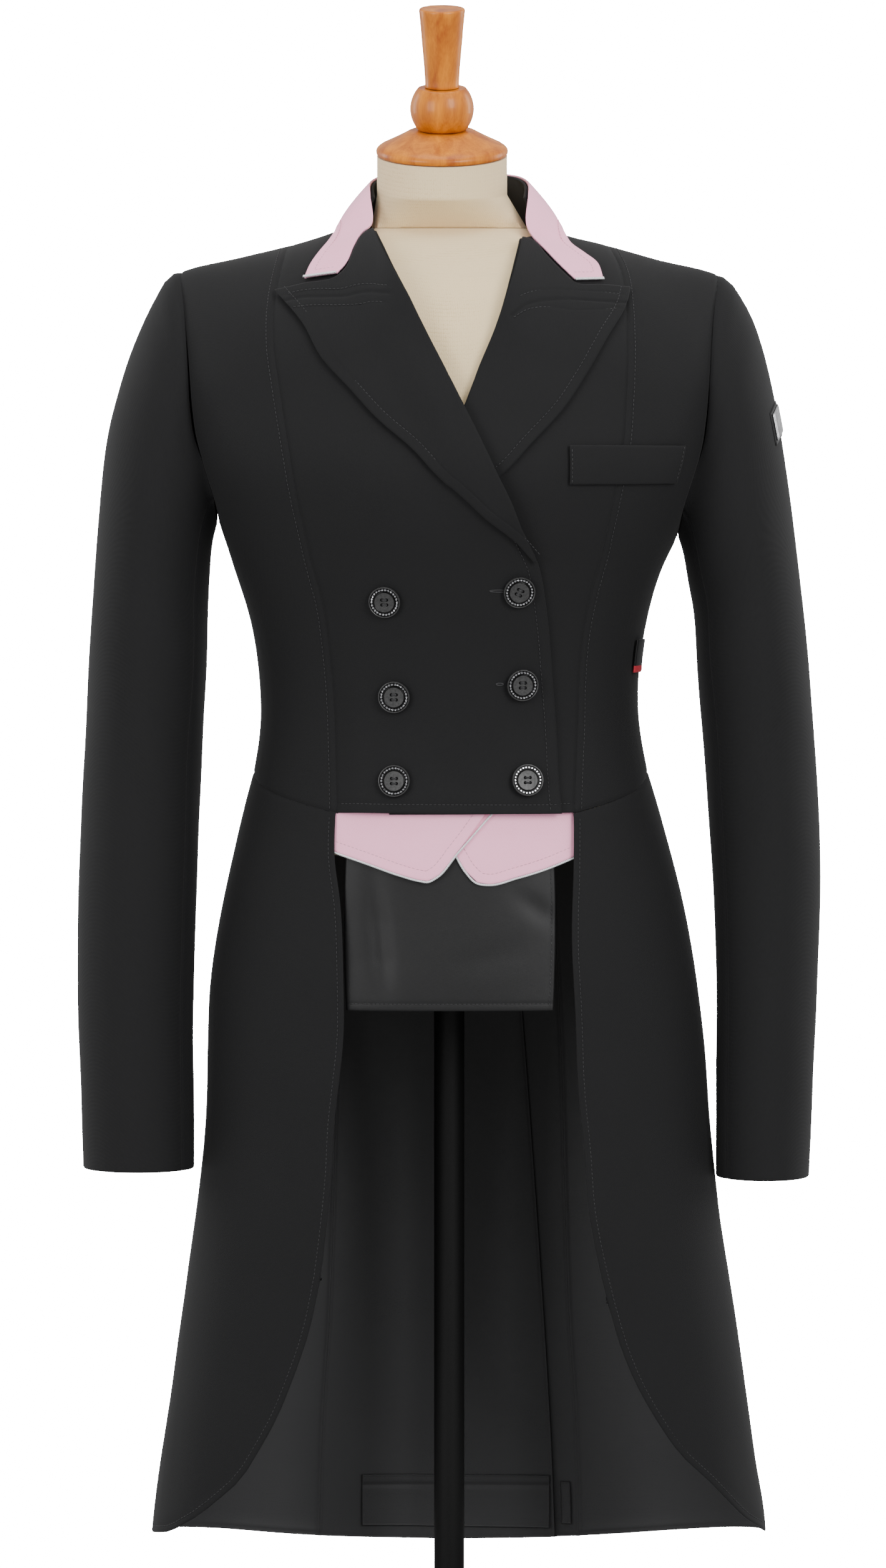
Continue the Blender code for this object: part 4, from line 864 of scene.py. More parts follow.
def stitch_row(points, normals, edges, inset, thread):
    """Note the stitches of a row that runs beside edges, at one inset in metres."""
    edge = edge_chain(points, edges)
    lift = edge_chain(normals, edges)
    keep = np.concatenate(([True], np.diff(lengths_along(edge)) > 1e-7))
    edge, lift = edge[keep], lift[keep]
    inwards = unit(np.cross(lift, np.gradient(edge, axis=0)))
    middle = points.reshape(-1, 3).mean(axis=0)
    if np.sum(inwards * (middle - edge)) < 0:
        inwards = -inwards
    row = edge + inwards * inset
    clear = line_distance(row, edge) > CORNER_CLEAR * inset
    sew(row[clear], lift[clear], thread)


def read_line(values, along, at):
    """Read a line's three numbers a point at the wanted distances along it."""
    return np.stack([np.interp(at, along, values[:, k]) for k in range(3)], axis=-1)


def sew(row, lift, thread):
    """Note stitches of equal length along a line of points."""
    along = lengths_along(row)
    starts = np.arange(STITCH_PITCH, along[-1] - STITCH_PITCH, STITCH_PITCH)
    THREADS[thread].extend(zip(read_line(row, along, starts),
                               read_line(row, along, starts + STITCH_LENGTH),
                               read_line(lift, along, starts)))


def finish_panel(made, look, lining, wall):
    """Give a panel its wall, with one material outside and one inside."""
    walls = made.modifiers.new("wall", "SOLIDIFY")
    walls.thickness = wall
    walls.offset = -1
    walls.material_offset = 1
    made.data.materials.append(look)
    made.data.materials.append(lining)


def grid_mesh(name, points, normals, uv):
    """Make a quad mesh of a grid whose faces look along the normals."""
    rows, columns = points.shape[:2]
    down = np.gradient(points, axis=0)
    across = np.gradient(points, axis=1)
    turned = np.sum(np.cross(down, across) * normals, axis=-1).mean() > 0
    corner = (np.arange(rows - 1)[:, None] * columns + np.arange(columns - 1)[None]).ravel()
    faces = np.stack((corner, corner + columns, corner + columns + 1, corner + 1), axis=-1)
    if not turned:
        faces = faces[:, ::-1]
    made = solid(name, points.reshape(-1, 3).tolist(), faces.tolist())
    layer = made.data.uv_layers.new(name="cloth")
    layer.data.foreach_set("uv", uv.reshape(-1, 2)[faces.ravel()].ravel())
    made.data.shade_smooth()
    return made


def panel(name, plan, surface, normals_of, wall, look, lining, sewn, stitches=(),
          rows=(60, 30), waves=1.0, drawn=()):
    """Make one cut piece as a finished cloth panel that stands for its solid.

    plan is a grid of the surface's own two numbers. sewn names the edges that sink into
    a seam, and stitches lists (edge, inset in mm, thread).
    """
    points = surface(plan)
    side_insets = [inset for edges, inset, _ in stitches if "left" in edges or "right" in edges]
    end_insets = [inset for edges, inset, _ in stitches if "foot" in edges or "top" in edges]
    plan = resampled(plan, line_shares(points, 1, rows[1], side_insets), 1)
    plan = resampled(plan, line_shares(points, 0, rows[0], end_insets), 0)
    flat = surface(plan)
    normals = normals_of(plan)
    dip = np.zeros(flat.shape[:2])
    for edge in EDGES:
        distance = line_distance(flat, edge_chain(flat, edge)) / MM
        for depth, width in (SEAM_DENTS if edge in sewn else EDGE_DENTS):
            dip += depth * bell(distance, width)
    for edges, inset, _ in stitches:
        distance = line_distance(flat, edge_chain(flat, edges)) / MM
        dip += STITCH_DENT * bell(distance - inset, STITCH_SPREAD)
    for line, depth, width, thread in drawn:
        run = surface(line)
        dip += depth * bell(line_distance(flat, run) / MM, width)
        if thread:
            sew(run - normals_of(line) * depth * MM, normals_of(line), thread)
    waved = flat + normals * (waves * cloth_waves(flat))[..., None]
    points = waved - normals * (dip * MM)[..., None]
    for edges, inset, thread in stitches:
        stitch_row(waved - normals * STITCH_DENT * MM, normals, edges, inset * MM, thread)
    for edge in sewn:
        axis, end = EDGES[edge]
        lines = np.moveaxis(points, axis, 0)
        lines[end] += TUCK * unit(lines[end] - lines[1 if end == 0 else -2])
    wide = lengths_along(flat, 1)
    tall = lengths_along(flat, 0)
    made = grid_mesh(f"{name}_cloth", points, normals, np.stack((wide, tall), axis=-1))
    finish_panel(made, look, lining, wall)
    settle(made, name)
    return made


# Body panels: fronts, side fronts, side backs, backs cut in one with the tails, skirts
BODY_PIECES = (
    # piece, its grid, edges sewn down, rows of stitches, rows and columns of points
    ("side_front", side_front_grid, tuple(EDGES), (("right", 5.2, "black"),), (62, 16)),
    ("front", front_grid, ("left", "top"), (("foot", 6.5, "black"),), (90, 34)),
    ("side_back", side_back_grid, tuple(EDGES), (("right", 5.0, "black"),), (40, 18)),
    ("back", back_grid, ("left", "right", "top"), (), (110, 34)),
    ("skirt", skirt_grid, ("right", "top"), (("left+foot", 4.6, "black"),), (80, 44)))


def body_rise(name, plan):
    """How far a body panel's outer face stands above the body."""
    if name == "front_right":
        return overlap_rise(plan)
    if name == "back_right":
        return vent_drop(plan)
    return np.zeros(plan.shape[:2])


for side in SIDES:
    for piece, make, sewn, stitches, rows in BODY_PIECES:
        name = f"{piece}_{side}"
        if name == "front_right":
            stitches = stitches + (("right", 8.5, "black"),)
        panel(name, make(side), lambda plan, n=name: raised(plan, body_rise(n, plan)), body_normals,
              CLOTH, WOOL, LINING, sewn, stitches, rows)

# Sleeve: outer and inner ends of each ring, half depth, and how far it swings back
SLEEVE = {
    "right": table("out_across out_height in_across in_height depth back", (
        (194, 995, 167, 815, 57, 0),
        (205, 989, 168, 812, 59, 0),
        (220.6, 958, 169.5, 807, 62, 0),
        (237, 914, 171, 800, 63, 0),
        (249.5, 858, 172.5, 785.5, 62, 0),
        (257.6, 758, 174.5, 736, 59, 0),
        (264, 653, 178, 654.5, 55, -3),
        (268, 559.5, 182, 564, 51, -8),
        (268.5, 465, 184.5, 469, 48, -13),
        (266.5, 396, 184.5, 401, 46, -16),
        (265, 348, 184.5, 348, 45, -18))),
    "left": table("out_across out_height in_across in_height depth back", (
        (194, 993, 166.5, 805, 57, 0),
        (205.7, 985, 167.5, 801, 59, 0),
        (220.6, 957, 169, 795, 62, 0),
        (233, 910, 170.5, 787, 63, 0),
        (245, 844, 173, 771, 62, 0),
        (257, 749, 178, 736, 59, 0),
        (265, 650, 184, 654.5, 55, -3),
        (269.4, 564, 190.5, 564, 51, -8),
        (266, 469, 193.5, 469, 48, -13),
        (263, 397, 193.5, 406, 46, -16),
        (261, 342, 193.5, 342, 45, -18)))}
CAP_SHARE = 0.3             # the cap takes its shape from the armhole down to here
ARM_ROUND = np.pi * np.arange(-ARM_STEPS, ARM_STEPS + 1) / ARM_STEPS


def sleeve_ring(side, down, turn):
    """Give sleeve points at a share down its length and a turn round from its outer side.

    A ring is an ellipse from the outer to the inner line, and positive turns go round
    the front.
    """
    down, turn = np.broadcast_arrays(np.asarray(down, float), np.asarray(turn, float))
    rings = SLEEVE[side]
    known = np.linspace(0, 1, len(rings["depth"]))
    at = {name: smooth(known, values, down) for name, values in rings.items()}
    inward = (1 - np.cos(turn)) / 2
    across = at["out_across"] + (at["in_across"] - at["out_across"]) * inward
    height = at["out_height"] + (at["in_height"] - at["out_height"]) * inward
    along = at["back"] - at["depth"] * np.sin(turn)
    return np.stack((SIGN[side] * across, along, height), axis=-1)


def armhole_misfit(side, turn):
    """Give how far the armhole lies from the sleeve's first ellipse, at each turn."""
    steps = np.abs(turn) * ARM_STEPS / np.pi
    plans = np.array([armhole(side, step, t < 0) for step, t in zip(steps, turn)])
    return body(plans[:, 0], plans[:, 1]) - sleeve_ring(side, 0, turn)


def sleeve_points(side, down, turn):
    """Give the sleeve's outer surface, whose cap starts in the armhole."""
    ring = sleeve_ring(side, down[:, None], turn[None])
    fade = np.clip(1 - down / CAP_SHARE, 0, 1) ** 1.5
    return ring + fade[:, None, None] * armhole_misfit(side, turn)[None]


def sleeve_normals(side, down, turn):
    """Give normals of the sleeve from small steps along it and round it."""
    step = 0.01
    turn_step = 0.05
    lower = sleeve_points(side, np.clip(down + step, 0, 1), turn)
    upper = sleeve_points(side, np.clip(down - step, 0, 1), turn)
    ahead = sleeve_points(side, down, turn + turn_step)
    behind = sleeve_points(side, down, turn - turn_step)
    return unit(np.cross(ahead - behind, lower - upper) * SIGN[side])


CAP_ROWS = 16
SLEEVE_DOWN = np.concatenate((np.linspace(0, CAP_SHARE, CAP_ROWS + 1)[:-1],
                              np.linspace(CAP_SHARE, 1, SLEEVE_STEPS - CAP_ROWS + 1)))
# Soft creases of the sleeves: share down, spread, turn, spread and depth in mm
CREASES = ((0.10, 0.05, -0.9, 0.9, -1.2), (0.15, 0.04, 1.1, 0.8, -1.0), (0.46, 0.05, 2.3, 0.7, -1.6),
           (0.53, 0.045, 2.6, 0.8, 1.3), (0.60, 0.05, 2.2, 0.7, -1.4), (0.30, 0.09, 0.4, 0.6, 0.8),
           (0.75, 0.12, 0.9, 0.5, -0.8))


def sleeve_lines(plan):
    """Give a plan's shares down, and its turns brought within half a round."""
    turn = plan[0, :, 1]
    wrapped = (turn + np.pi) % (2 * np.pi) - np.pi
    wrapped[np.isclose(turn, np.pi)] = np.pi
    return plan[:, 0, 0], wrapped


def sleeve_surface(side, plan):
    """Give sleeve points at (share down, turn), with its creases."""
    down, turn = sleeve_lines(plan)
    points = sleeve_points(side, down, turn)
    normals = sleeve_normals(side, down, turn)
    depth = np.zeros(points.shape[:2])
    for middle, spread, bearing, wide, mm in CREASES:
        swing = (turn - bearing + np.pi) % (2 * np.pi) - np.pi
        along = (down[:, None] - middle - 0.02 * swing[None]) / spread
        depth += mm * np.exp(-along ** 2 - (swing[None] / wide) ** 2)
    return points + normals * depth[..., None] * MM


for side in SIDES:
    first = ARM_STEPS - SLEEVE_SEAM_STEP
    over_arm = ARM_ROUND[first:-first]
    under_arm = np.concatenate((ARM_ROUND[-first - 1:], ARM_ROUND[1:first + 1] + 2 * np.pi))
    for piece, turn in (("top_sleeve", over_arm), ("under_sleeve", under_arm)):
        plan = np.stack(np.meshgrid(SLEEVE_DOWN, turn, indexing="ij"), axis=-1)
        panel(f"{piece}_{side}", plan, lambda p, s=side: sleeve_surface(s, p),
              lambda p, s=side: sleeve_normals(s, *sleeve_lines(p)), CLOTH, WOOL, LINING,
              ("left", "right", "top"), (), (96, 52 if piece == "top_sleeve" else 22), 0.8)


# Lapels: outer edge, top edge from the peak to the neck, and roll line
LAPEL_EDGE = {
    "right": ((124.3, 980), (102.6, 954.6), (90.9, 933.4), (69.6, 909.4), (48.8, 887),
              (26.2, 867.8), (6.8, 848), (-9.5, 834.8), (-26.2, 819.4), (-47, 803), (-59, 789)),
    "left": ((128.8, 982), (126.6, 972.7), (111, 945.5), (96.3, 920), (81.4, 897.6),
             (58.8, 873), (36.6, 850), (27, 843))}
LAPEL_TOP = {
    "right": ((124.3, 980), (103, 984), (78.6, 988), (73.2, 992.6), (66.4, 1006),
              (59.7, 1016.5), (51, 1021.5)),
    "left": ((128.8, 982), (109, 983.5), (89, 985), (81.4, 991.5), (69.6, 1003.5),
             (58, 1015.6), (51, 1018))}
LAPEL_ROLL = {
    "right": ROLL["right"] + ((-61, 790.5),),
    "left": ROLL["left"][:5] + ((4.5, 888.6),)}


def panel_rise(side, plan):
    """How far a front's outer face stands above the body at the given points."""
    if side == "right":
        return overlap_rise(plan)
    return np.zeros(plan.shape[:-1])


# Gorge seam between two rows of stitches, and each line's depth, width in mm and thread
GORGE = {
    "right": (((117, 975.6), (106, 978), (92, 978.8), (76.6, 978.3), (61.5, 981.2), (40, 981.6)),
              ((117, 971.5), (107, 973.5), (86, 973.5), (73, 973.4), (60, 975.9), (40, 976.2)),
              ((113, 966.8), (97, 967.8), (77, 967.3), (60, 968.1), (53.6, 969.4), (42, 969.6))),
    "left": (((123.5, 976.4), (110, 977.8), (87, 979), (68, 979.6), (56.6, 978.3), (48, 975)),
             ((126, 970.6), (106, 971.5), (74, 972.5), (62.3, 971.5), (54.7, 969.6), (44, 962)),
             ((121, 966.8), (106, 965.7), (85, 965.4), (74, 967.3), (62, 967.5), (53, 965.4),
              (44, 960)))}
GORGE_LINES = ((0.3, 0.8, "black"), (0.8, 1.1, None), (0.3, 0.8, "black"))
for side in SIDES:
    rows = 40
    outer = on_front(side, LAPEL_EDGE[side], rows, ROLL_POWER)
    inner = on_front(side, LAPEL_ROLL[side], rows, ROLL_POWER)
    top = on_front(side, LAPEL_TOP[side], 20)
    inner[0] = top[-1]
    outer[0] = top[0]
    plan = patch(outer, inner, top, span(outer[-1], inner[-1], 20))

    def lapel_surface(grid, side=side):
        return raised(grid, panel_rise(side, grid) + LAPEL_RISE + LAPEL_LIFT[side])

    drawn = [(on_front(side, line, 60), *how) for line, how in zip(GORGE[side], GORGE_LINES)]
    panel(f"lapel_{side}", plan, lapel_surface, body_normals, CLOTH, WOOL, WOOL, (),
          (("left", 7.0, "black"),), (190, 70), 1.0, drawn)

# Collar: from its end on the chest, then round the neck to the centre back
COLLAR_GORGE = {
    "right": ((79, 990), (73.4, 995), (66.8, 1008), (60, 1018.5)),
    "left": ((89, 987.5), (82, 994), (70.2, 1006), (58.5, 1018.3))}
COLLAR_EDGE = {
    "right": ((103, 988), (98.5, 998), (92.5, 1006), (86.5, 1012.5)),
    "left": ((109.4, 988), (107.5, 996), (96.5, 1006), (87, 1013))}
NECK_ROUND = table("edge_across edge_height fold_across fold_along fold_height", (
    (82, 1018, 55, -38, 1031),
    (80.5, 1021.2, 57, -18, 1050),
    (80, 1019.8, 57.5, 4, 1059),
    (74, 1014, 53, 30, 1064),
    (61, 1015, 45, 42, 1066),
    (42, 1018.5, 31, 53, 1067.5),
    (21, 1022.5, 16, 60, 1068.5),
    (0, 1024, 0, 63, 1069)))
STAND_FOOT = table("across height", (
    (64, 1024), (74.5, 1024.4), (66, 1024.4), (54, 1025), (39, 1027.2), (20, 1030), (0, 1031)))
COLLAR_ROWS = 14
COLLAR_SWELL = 2.5 * MM      # the fall bulges outwards by this, and upwards by a share of it
COLLAR_PUFF = 0.6
COLLAR_CLEAR = 2.6 * MM      # the fall stands this much higher where it bridges the neck
NECK_AXIS = np.array((-5.2, 6, 0)) * MM
STAND_INSET = 2.2 * MM      # the stand lies this far inside the fold and below it
STAND_DROP = 1.2 * MM
STAND_LIFT = 1.7 * MM
STAND_AHEAD = 2             # this many of its stations lie before the shoulder line


def flat_unit(vector):
    """Give a vector's level direction, at length one."""
    return unit(vector * (EAST + NORTH))


def neck_fold(side, i):
    """Give the point of the collar's fold at a station round the neck."""
    return np.array((SIGN[side] * NECK_ROUND["fold_across"][i], NECK_ROUND["fold_along"][i],
                     NECK_ROUND["fold_height"][i]))


def collar_half(side):
    """Give the collar's outer face from its front end to the centre back."""
    share = np.linspace(0, 1, COLLAR_ROWS + 1)[:, None]
    stations = []
    gorge = on_front(side, COLLAR_GORGE[side], 3)
    edge = on_front(side, COLLAR_EDGE[side], 3)
    for near, far in zip(gorge, edge):
        plan = (1 - share) * near + share * far
        stations.append(raised(plan, panel_rise(side, plan) + LAPEL_RISE))
    swell = 4 * share * (1 - share) * COLLAR_SWELL
    for i, edge in enumerate(zip(NECK_ROUND["edge_across"], NECK_ROUND["edge_height"])):
        fold = neck_fold(side, i)
        low = raised(plan_at(side, fold[1] > 0, *edge), LAPEL_RISE + COLLAR_CLEAR)
        bulge = flat_unit(low - fold) + COLLAR_PUFF * UP
        stations.append((1 - share) * fold + share * low + swell * bulge)
    return np.stack(stations, axis=1)


def away_from_neck(grid):
    """Give a collar grid's normals, which face away from the neck's axis."""
    inside = NECK_AXIS + grid * UP - 30 * MM * UP
    normals = unit(np.cross(np.gradient(grid, axis=0), np.gradient(grid, axis=1)))
    facing = np.sum(normals * (grid - inside), axis=-1)
    return normals * (1 if facing.mean() > 0 else -1)


def grid_lookup(grid):
    """Let a grid of points be read at (row share, column share) pairs, smoothly."""
    def surface(plan):
        fine = resampled(grid, plan[:, 0, 0], 0)
        return resampled(fine, plan[0, :, 1], 1)
    return surface


def share_plan(rows, columns):
    """Give the pairs of shares at which a whole grid is read."""
    return np.stack(np.meshgrid(np.linspace(0, 1, rows), np.linspace(0, 1, columns),
                                indexing="ij"), axis=-1)


def both_halves(half):
    """Join the right half with the left one, whose shared centre line is left out."""
    return grid_lookup(np.concatenate((half("right"), half("left")[:, -2::-1]), axis=1))


surface = both_halves(collar_half)
panel("collar_fall", share_plan(15, 90), surface, lambda plan: away_from_neck(surface(plan)), CLOTH,
      PINK, PINK, (), (("left+foot+right", 6.4, "pink"),),
      (26, 150), 0.3)


def stand_half(side):
    """Give the collar stand from the front of the neck to the centre back."""
    share = np.linspace(0, 1, 3)[:, None]
    stations = []
    for i, (across, height) in enumerate(zip(*STAND_FOOT.values()), 1):
        foot = raised(plan_at(side, i > STAND_AHEAD, across, height), STAND_LIFT)
        fold = neck_fold(side, i)
        head = fold + STAND_INSET * flat_unit(NECK_AXIS - fold) - STAND_DROP * UP
        stations.append((1 - share) * head + share * foot)
    return np.stack(stations, axis=1)


stand_surface = both_halves(stand_half)
panel("collar_stand", share_plan(8, 60), stand_surface,
      lambda plan: away_from_neck(stand_surface(plan)), CLOTH, WOOL, LINING, ("foot",), (),
      (14, 90), 0.0)

# Waistcoat points: top corners, lower edge and how deep each lies behind the fronts
VEST_TOP = 620
VEST = {
    "right": (((87, VEST_TOP), (87, 583)),
              ((87, 583), (58, 573.5), (36, 566), (21, 562), (15.5, 561.3)),
              ((-34, VEST_TOP), (-5, 581), (10, 564), (15.5, 561.3))),
    "left": (((93, VEST_TOP), (93, 579)),
             ((93, 579), (68, 569.5), (49, 564), (28, 559.2), (20.5, 560.3)),
             ((-27, VEST_TOP), (5, 580), (12, 568.5), (20.5, 560.3)))}
VEST_GAP = 0.6 * MM
VEST_DEPTH = {"right": CLOTH + VEST_GAP, "left": CLOTH + THIN_CLOTH + 2 * VEST_GAP}
PIPING_RADIUS = 0.7 * MM
CORD_RADIUS = 0.95 * MM
COLLAR_CORD = 1.15          # radius in mm of the cords at the collar's ends
CORD_STEP = 0.55 * MM
CORD_TWIST = 2.6 * MM       # length of one turn of a cord's two strands
CORD_SIDES = 6
STRAND_OFFSET = 0.45        # a strand's offset and radius as shares of the cord's radius
STRAND_RADIUS = 0.58


def below(points, gap):
    """Shift a line of (distance, height) points square to itself, downwards."""
    points = np.array(points, dtype=float)
    along = np.gradient(points, axis=0)
    square = np.stack((along[:, 1], -along[:, 0]), axis=-1)
    square *= np.where(square[:, 1:] > 0, -1, 1)
    return points + gap / MM * unit(square)


def twisted_cord(name, line, normals, radius, look, replaced):
    """Lay a cord of two twisted strands along a line of points."""
    along = lengths_along(line)
    steps = max(int(along[-1] / CORD_STEP), 12)
    at = np.linspace(0, along[-1], steps)
    middle = read_line(line, along, at)
    ahead = unit(np.gradient(middle, axis=0))
    side_way = unit(np.cross(ahead, read_line(normals, along, at)))
    up = np.cross(side_way, ahead)
    verts = []
    faces = []
    for strand in (0, np.pi):
        twist = (at / CORD_TWIST * 2 * np.pi + strand)[:, None]
        centre = middle + radius * STRAND_OFFSET * (np.cos(twist) * side_way + np.sin(twist) * up)
        first = len(verts)
        for k in range(steps):
            verts.extend(ring(centre[k], side_way[k], up[k], radius * STRAND_RADIUS, CORD_SIDES))
        faces += ring_faces(first, steps, CORD_SIDES) + [
            round_face(first, CORD_SIDES, True),
            round_face(len(verts) - CORD_SIDES, CORD_SIDES)]
    made = solid(name, verts, faces, look)
    made.data.shade_smooth()
    settle(made, replaced)


for side in SIDES:
    rows = 12
    columns = 30
    outer_line, lower_line, slope_line = VEST[side]
    outer = on_front(side, outer_line, rows)
    slope = on_front(side, slope_line, rows)
    lower = on_front(side, lower_line, columns)
    lower[-1] = slope[-1]
    plan = patch(outer, slope, span(outer[0], slope[0], columns), lower)
    depth = VEST_DEPTH[side]
    panel(f"vest_point_{side}", plan,
          lambda grid, d=depth: raised(grid, -d), body_normals, THIN_CLOTH, PINK, PINK,
          (), (("foot+right", 7.0, "pink"),), (30, 60), 0.4)
    edge = trace(lower_line + slope_line[-2:0:-1] + ((slope_line[0][0], VEST_TOP - 6),), 60)
    run = on_front(side, below(edge, PIPING_RADIUS + 0.1 * MM), 90)
    twisted_cord(f"vest_point_cord_{side}", raised(run, -depth - PIPING_RADIUS),
                 body_normals(run), CORD_RADIUS, SILVER, f"vest_piping_{side}")

for side in SIDES:
    ends = (COLLAR_EDGE[side][0], COLLAR_GORGE[side][0])
    run = on_front(side, [(across, height - COLLAR_CORD) for across, height in ends], 16)
    rise = panel_rise(side, run) + LAPEL_RISE + LAPEL_LIFT[side] + COLLAR_CORD * MM
    twisted_cord(f"collar_end_cord_{side}", raised(run, rise), body_normals(run),
                 COLLAR_CORD * MM, SILVER, f"collar_piping_{side}")

# Satin flap that hangs behind the waistcoat points
FLAP_TOP = 612 * MM
FLAP_FOOT = 468 * MM
FLAP_ACROSS = ((-74.5, 75), (-75, 75.5))
FLAP_DEPTH = VEST_DEPTH["left"] + THIN_CLOTH + VEST_GAP


def flap_line(ends, height, columns):
    """Give a level line of the flap between two distances across."""
    return plan_at("left", False, np.linspace(ends[0] * MM, ends[1] * MM, columns + 1),
                   np.full(columns + 1, height))


def flap_surface(plan):
    """The flap's face, with slack creases that run down and to the side in the satin."""
    points = raised(plan, -FLAP_DEPTH)
    x, _, z = np.moveaxis(points / MM, -1, 0)
    fade = np.clip((FLAP_TOP / MM - 30 - z) / 50, 0, 1) * np.clip((z - 474) / 30, 0, 1)
    slack = (2.6 * bell(x + 50 + 0.1 * (z - 520), 7)
             + 1.6 * bell(z - 543 + 0.6 * (x - 60), 9) * bell(x - 62, 15)
             + 0.9 * bell(z - 506 - 0.3 * (x - 30), 12) * bell(x - 30, 26)
             + 0.5 + 0.5 * np.sin(x / 29 - z / 33))
    return points - body_normals(plan) * (slack * fade * MM)[..., None]


columns = 30
top = flap_line(FLAP_ACROSS[0], FLAP_TOP, columns)
foot = flap_line(FLAP_ACROSS[1], FLAP_FOOT, columns)
plan = patch(span(top[0], foot[0], 24), span(top[-1], foot[-1], 24), top, foot)
panel("satin_flap", plan, flap_surface, body_normals, THIN_CLOTH, SATIN, SATIN, (),
      (("foot", 5.0, "black"), ("right", 3.0, "black")), (60, 50), 0.3)

# Breast welt, whose top stays open and whose two upright ends are stitched down
WELT = np.array(((84.5, 871), (167, 870.5), (84.5, 843.5), (160.5, 844))) * MM
plan = four_corners(plan_at("left", False, *WELT.T), 8, 24)
panel("breast_welt", plan, lambda grid: raised(grid, LAPEL_RISE), body_normals, CLOTH, WOOL, WOOL,
      (), (("left", 1.8, "black"), ("right", 1.8, "black")), (18, 40), 1.0)

# Woven tab at the left side, bare, with a red lower end
TAB_BEARINGS = np.radians((70, 80))
TAB_TOP = 731 * MM
TAB_FOOT = 707 * MM
RED_END = 712 * MM
plan = four_corners([(bearing, height) for height in (TAB_TOP, TAB_FOOT)
                     for bearing in TAB_BEARINGS], 8, 8)
tab = panel("side_tab", plan, lambda grid: raised(grid, THIN_CLOTH + LAY), body_normals,
            THIN_CLOTH, SATIN, SATIN, (), (), (16, 12), 0.0)
tab.data.materials.append(RED)
tab.modifiers["wall"].material_offset = 0
for face in tab.data.polygons:
    if face.center.z < RED_END:
        face.material_index = 2

# Bare plate on its dark backing, on the left sleeve: shares down, degrees round, wall and
# rise in mm
for name, downs, turns, wall, look, rise, slot in (
        ("sleeve_backing", (0.314, 0.354), (5, 33), 1.0, SATIN, 1.6, "black_satin"),
        ("sleeve_plate", (0.318, 0.350), (7.5, 30.5), 0.8, CHROME, 2.8, "badge")):
    down = np.linspace(*downs, 14)
    turn = np.radians(np.linspace(*turns, 14))
    normals = sleeve_normals("left", down, turn)
    points = sleeve_points("left", down, turn) + normals * rise * MM
    rim = line_distance(points, edge_chain(points, "left+foot+right+top")) / MM
    points = points - normals * (0.35 * bell(rim, 0.7) * MM)[..., None]
    uv = np.stack((lengths_along(points, 1), lengths_along(points, 0)), axis=-1)
    made = grid_mesh(f"{name}_finished", points, normals, uv)
    finish_panel(made, look, look, wall * MM)
    settle(made, name)

# Pocket patches inside the tail hem, with a raised line for the slit of the wide one
TAIL_POCKETS = {"right": ((65, 107), (-75, 107), (65, 68.5), (-75, 67)),
                "left": ((89.5, 102), (82.5, 102), (90.5, 70), (83.5, 70))}
SLIT_HEIGHT = 99 * MM
for side in SIDES:
    corners = plan_at(side, True, *(np.array(TAIL_POCKETS[side]) * MM).T)
    plan = four_corners(corners, 12, 40 if side == "right" else 4)

    def pocket_surface(grid, side=side):
        tail = vent_drop(grid) if side == "right" else np.zeros(grid.shape[:2])
        points = raised(grid, tail - CLOTH - VEST_GAP)
        if side == "right":
            slit = bell(points[..., 2] - SLIT_HEIGHT, 1.6 * MM)
            points = points + body_normals(grid) * (1.1 * slit * MM)[..., None]
        return points

    panel(f"tail_pocket_{side}", plan, pocket_surface, body_normals, THIN_CLOTH, LINING, LINING,
          (), (), (30, 60 if side == "right" else 8), 0.0)

# Topstitching: each stitch is a short thread with tapered ends, half sunk in the cloth
STITCH_SIDES = 6
STITCH_SHAPE = ((0.0, 0.35), (0.18, 0.95), (0.5, 1.0), (0.82, 0.95), (1.0, 0.35))
for thread, look, slot in (("black", BLACK_THREAD, "wool"), ("pink", PINK_THREAD, "pink_satin")):
    verts = []
    faces = []
    for start, end, lift in THREADS[thread]:
        long = np.linalg.norm(end - start)
        if long < STITCH_SHORTEST:
            continue
        ahead = unit(end - start)
        side_way = unit(np.cross(ahead, lift))
        up = np.cross(side_way, ahead)
        first = len(verts)
        for share, size in STITCH_SHAPE:
            middle = start + ahead * long * share + up * STITCH_RADIUS * (1.1 * size - 0.6)
            verts.extend(ring(middle, side_way, up, STITCH_RADIUS * size, STITCH_SIDES))
        faces += ring_faces(first, len(STITCH_SHAPE), STITCH_SIDES, True) + [
            round_face(first, STITCH_SIDES),
            round_face(len(verts) - STITCH_SIDES, STITCH_SIDES, True)]
    made = solid(f"topstitching_{thread}", verts, faces, look)
    made.data.shade_smooth()
    settle(made)


def lathe(name, profile, sides, look, place, turn=Matrix.Identity(3), smooth_angle=35):
    """Turn a (radius, height) profile in millimetres round its own axis, at a place."""
    right, ahead, up = np.array(turn).T
    verts = np.concatenate([ring(np.array(place) + height * MM * up, right, ahead, radius * MM, sides)
                            for radius, height in profile])
    made = solid(name, verts, ring_faces(0, len(profile), sides, True)
                 + [round_face(0, sides), round_face(len(verts) - sides, sides, True)], look)
    made.data.shade_smooth()
    made.data.set_sharp_from_angle(angle=math.radians(smooth_angle))
    return made
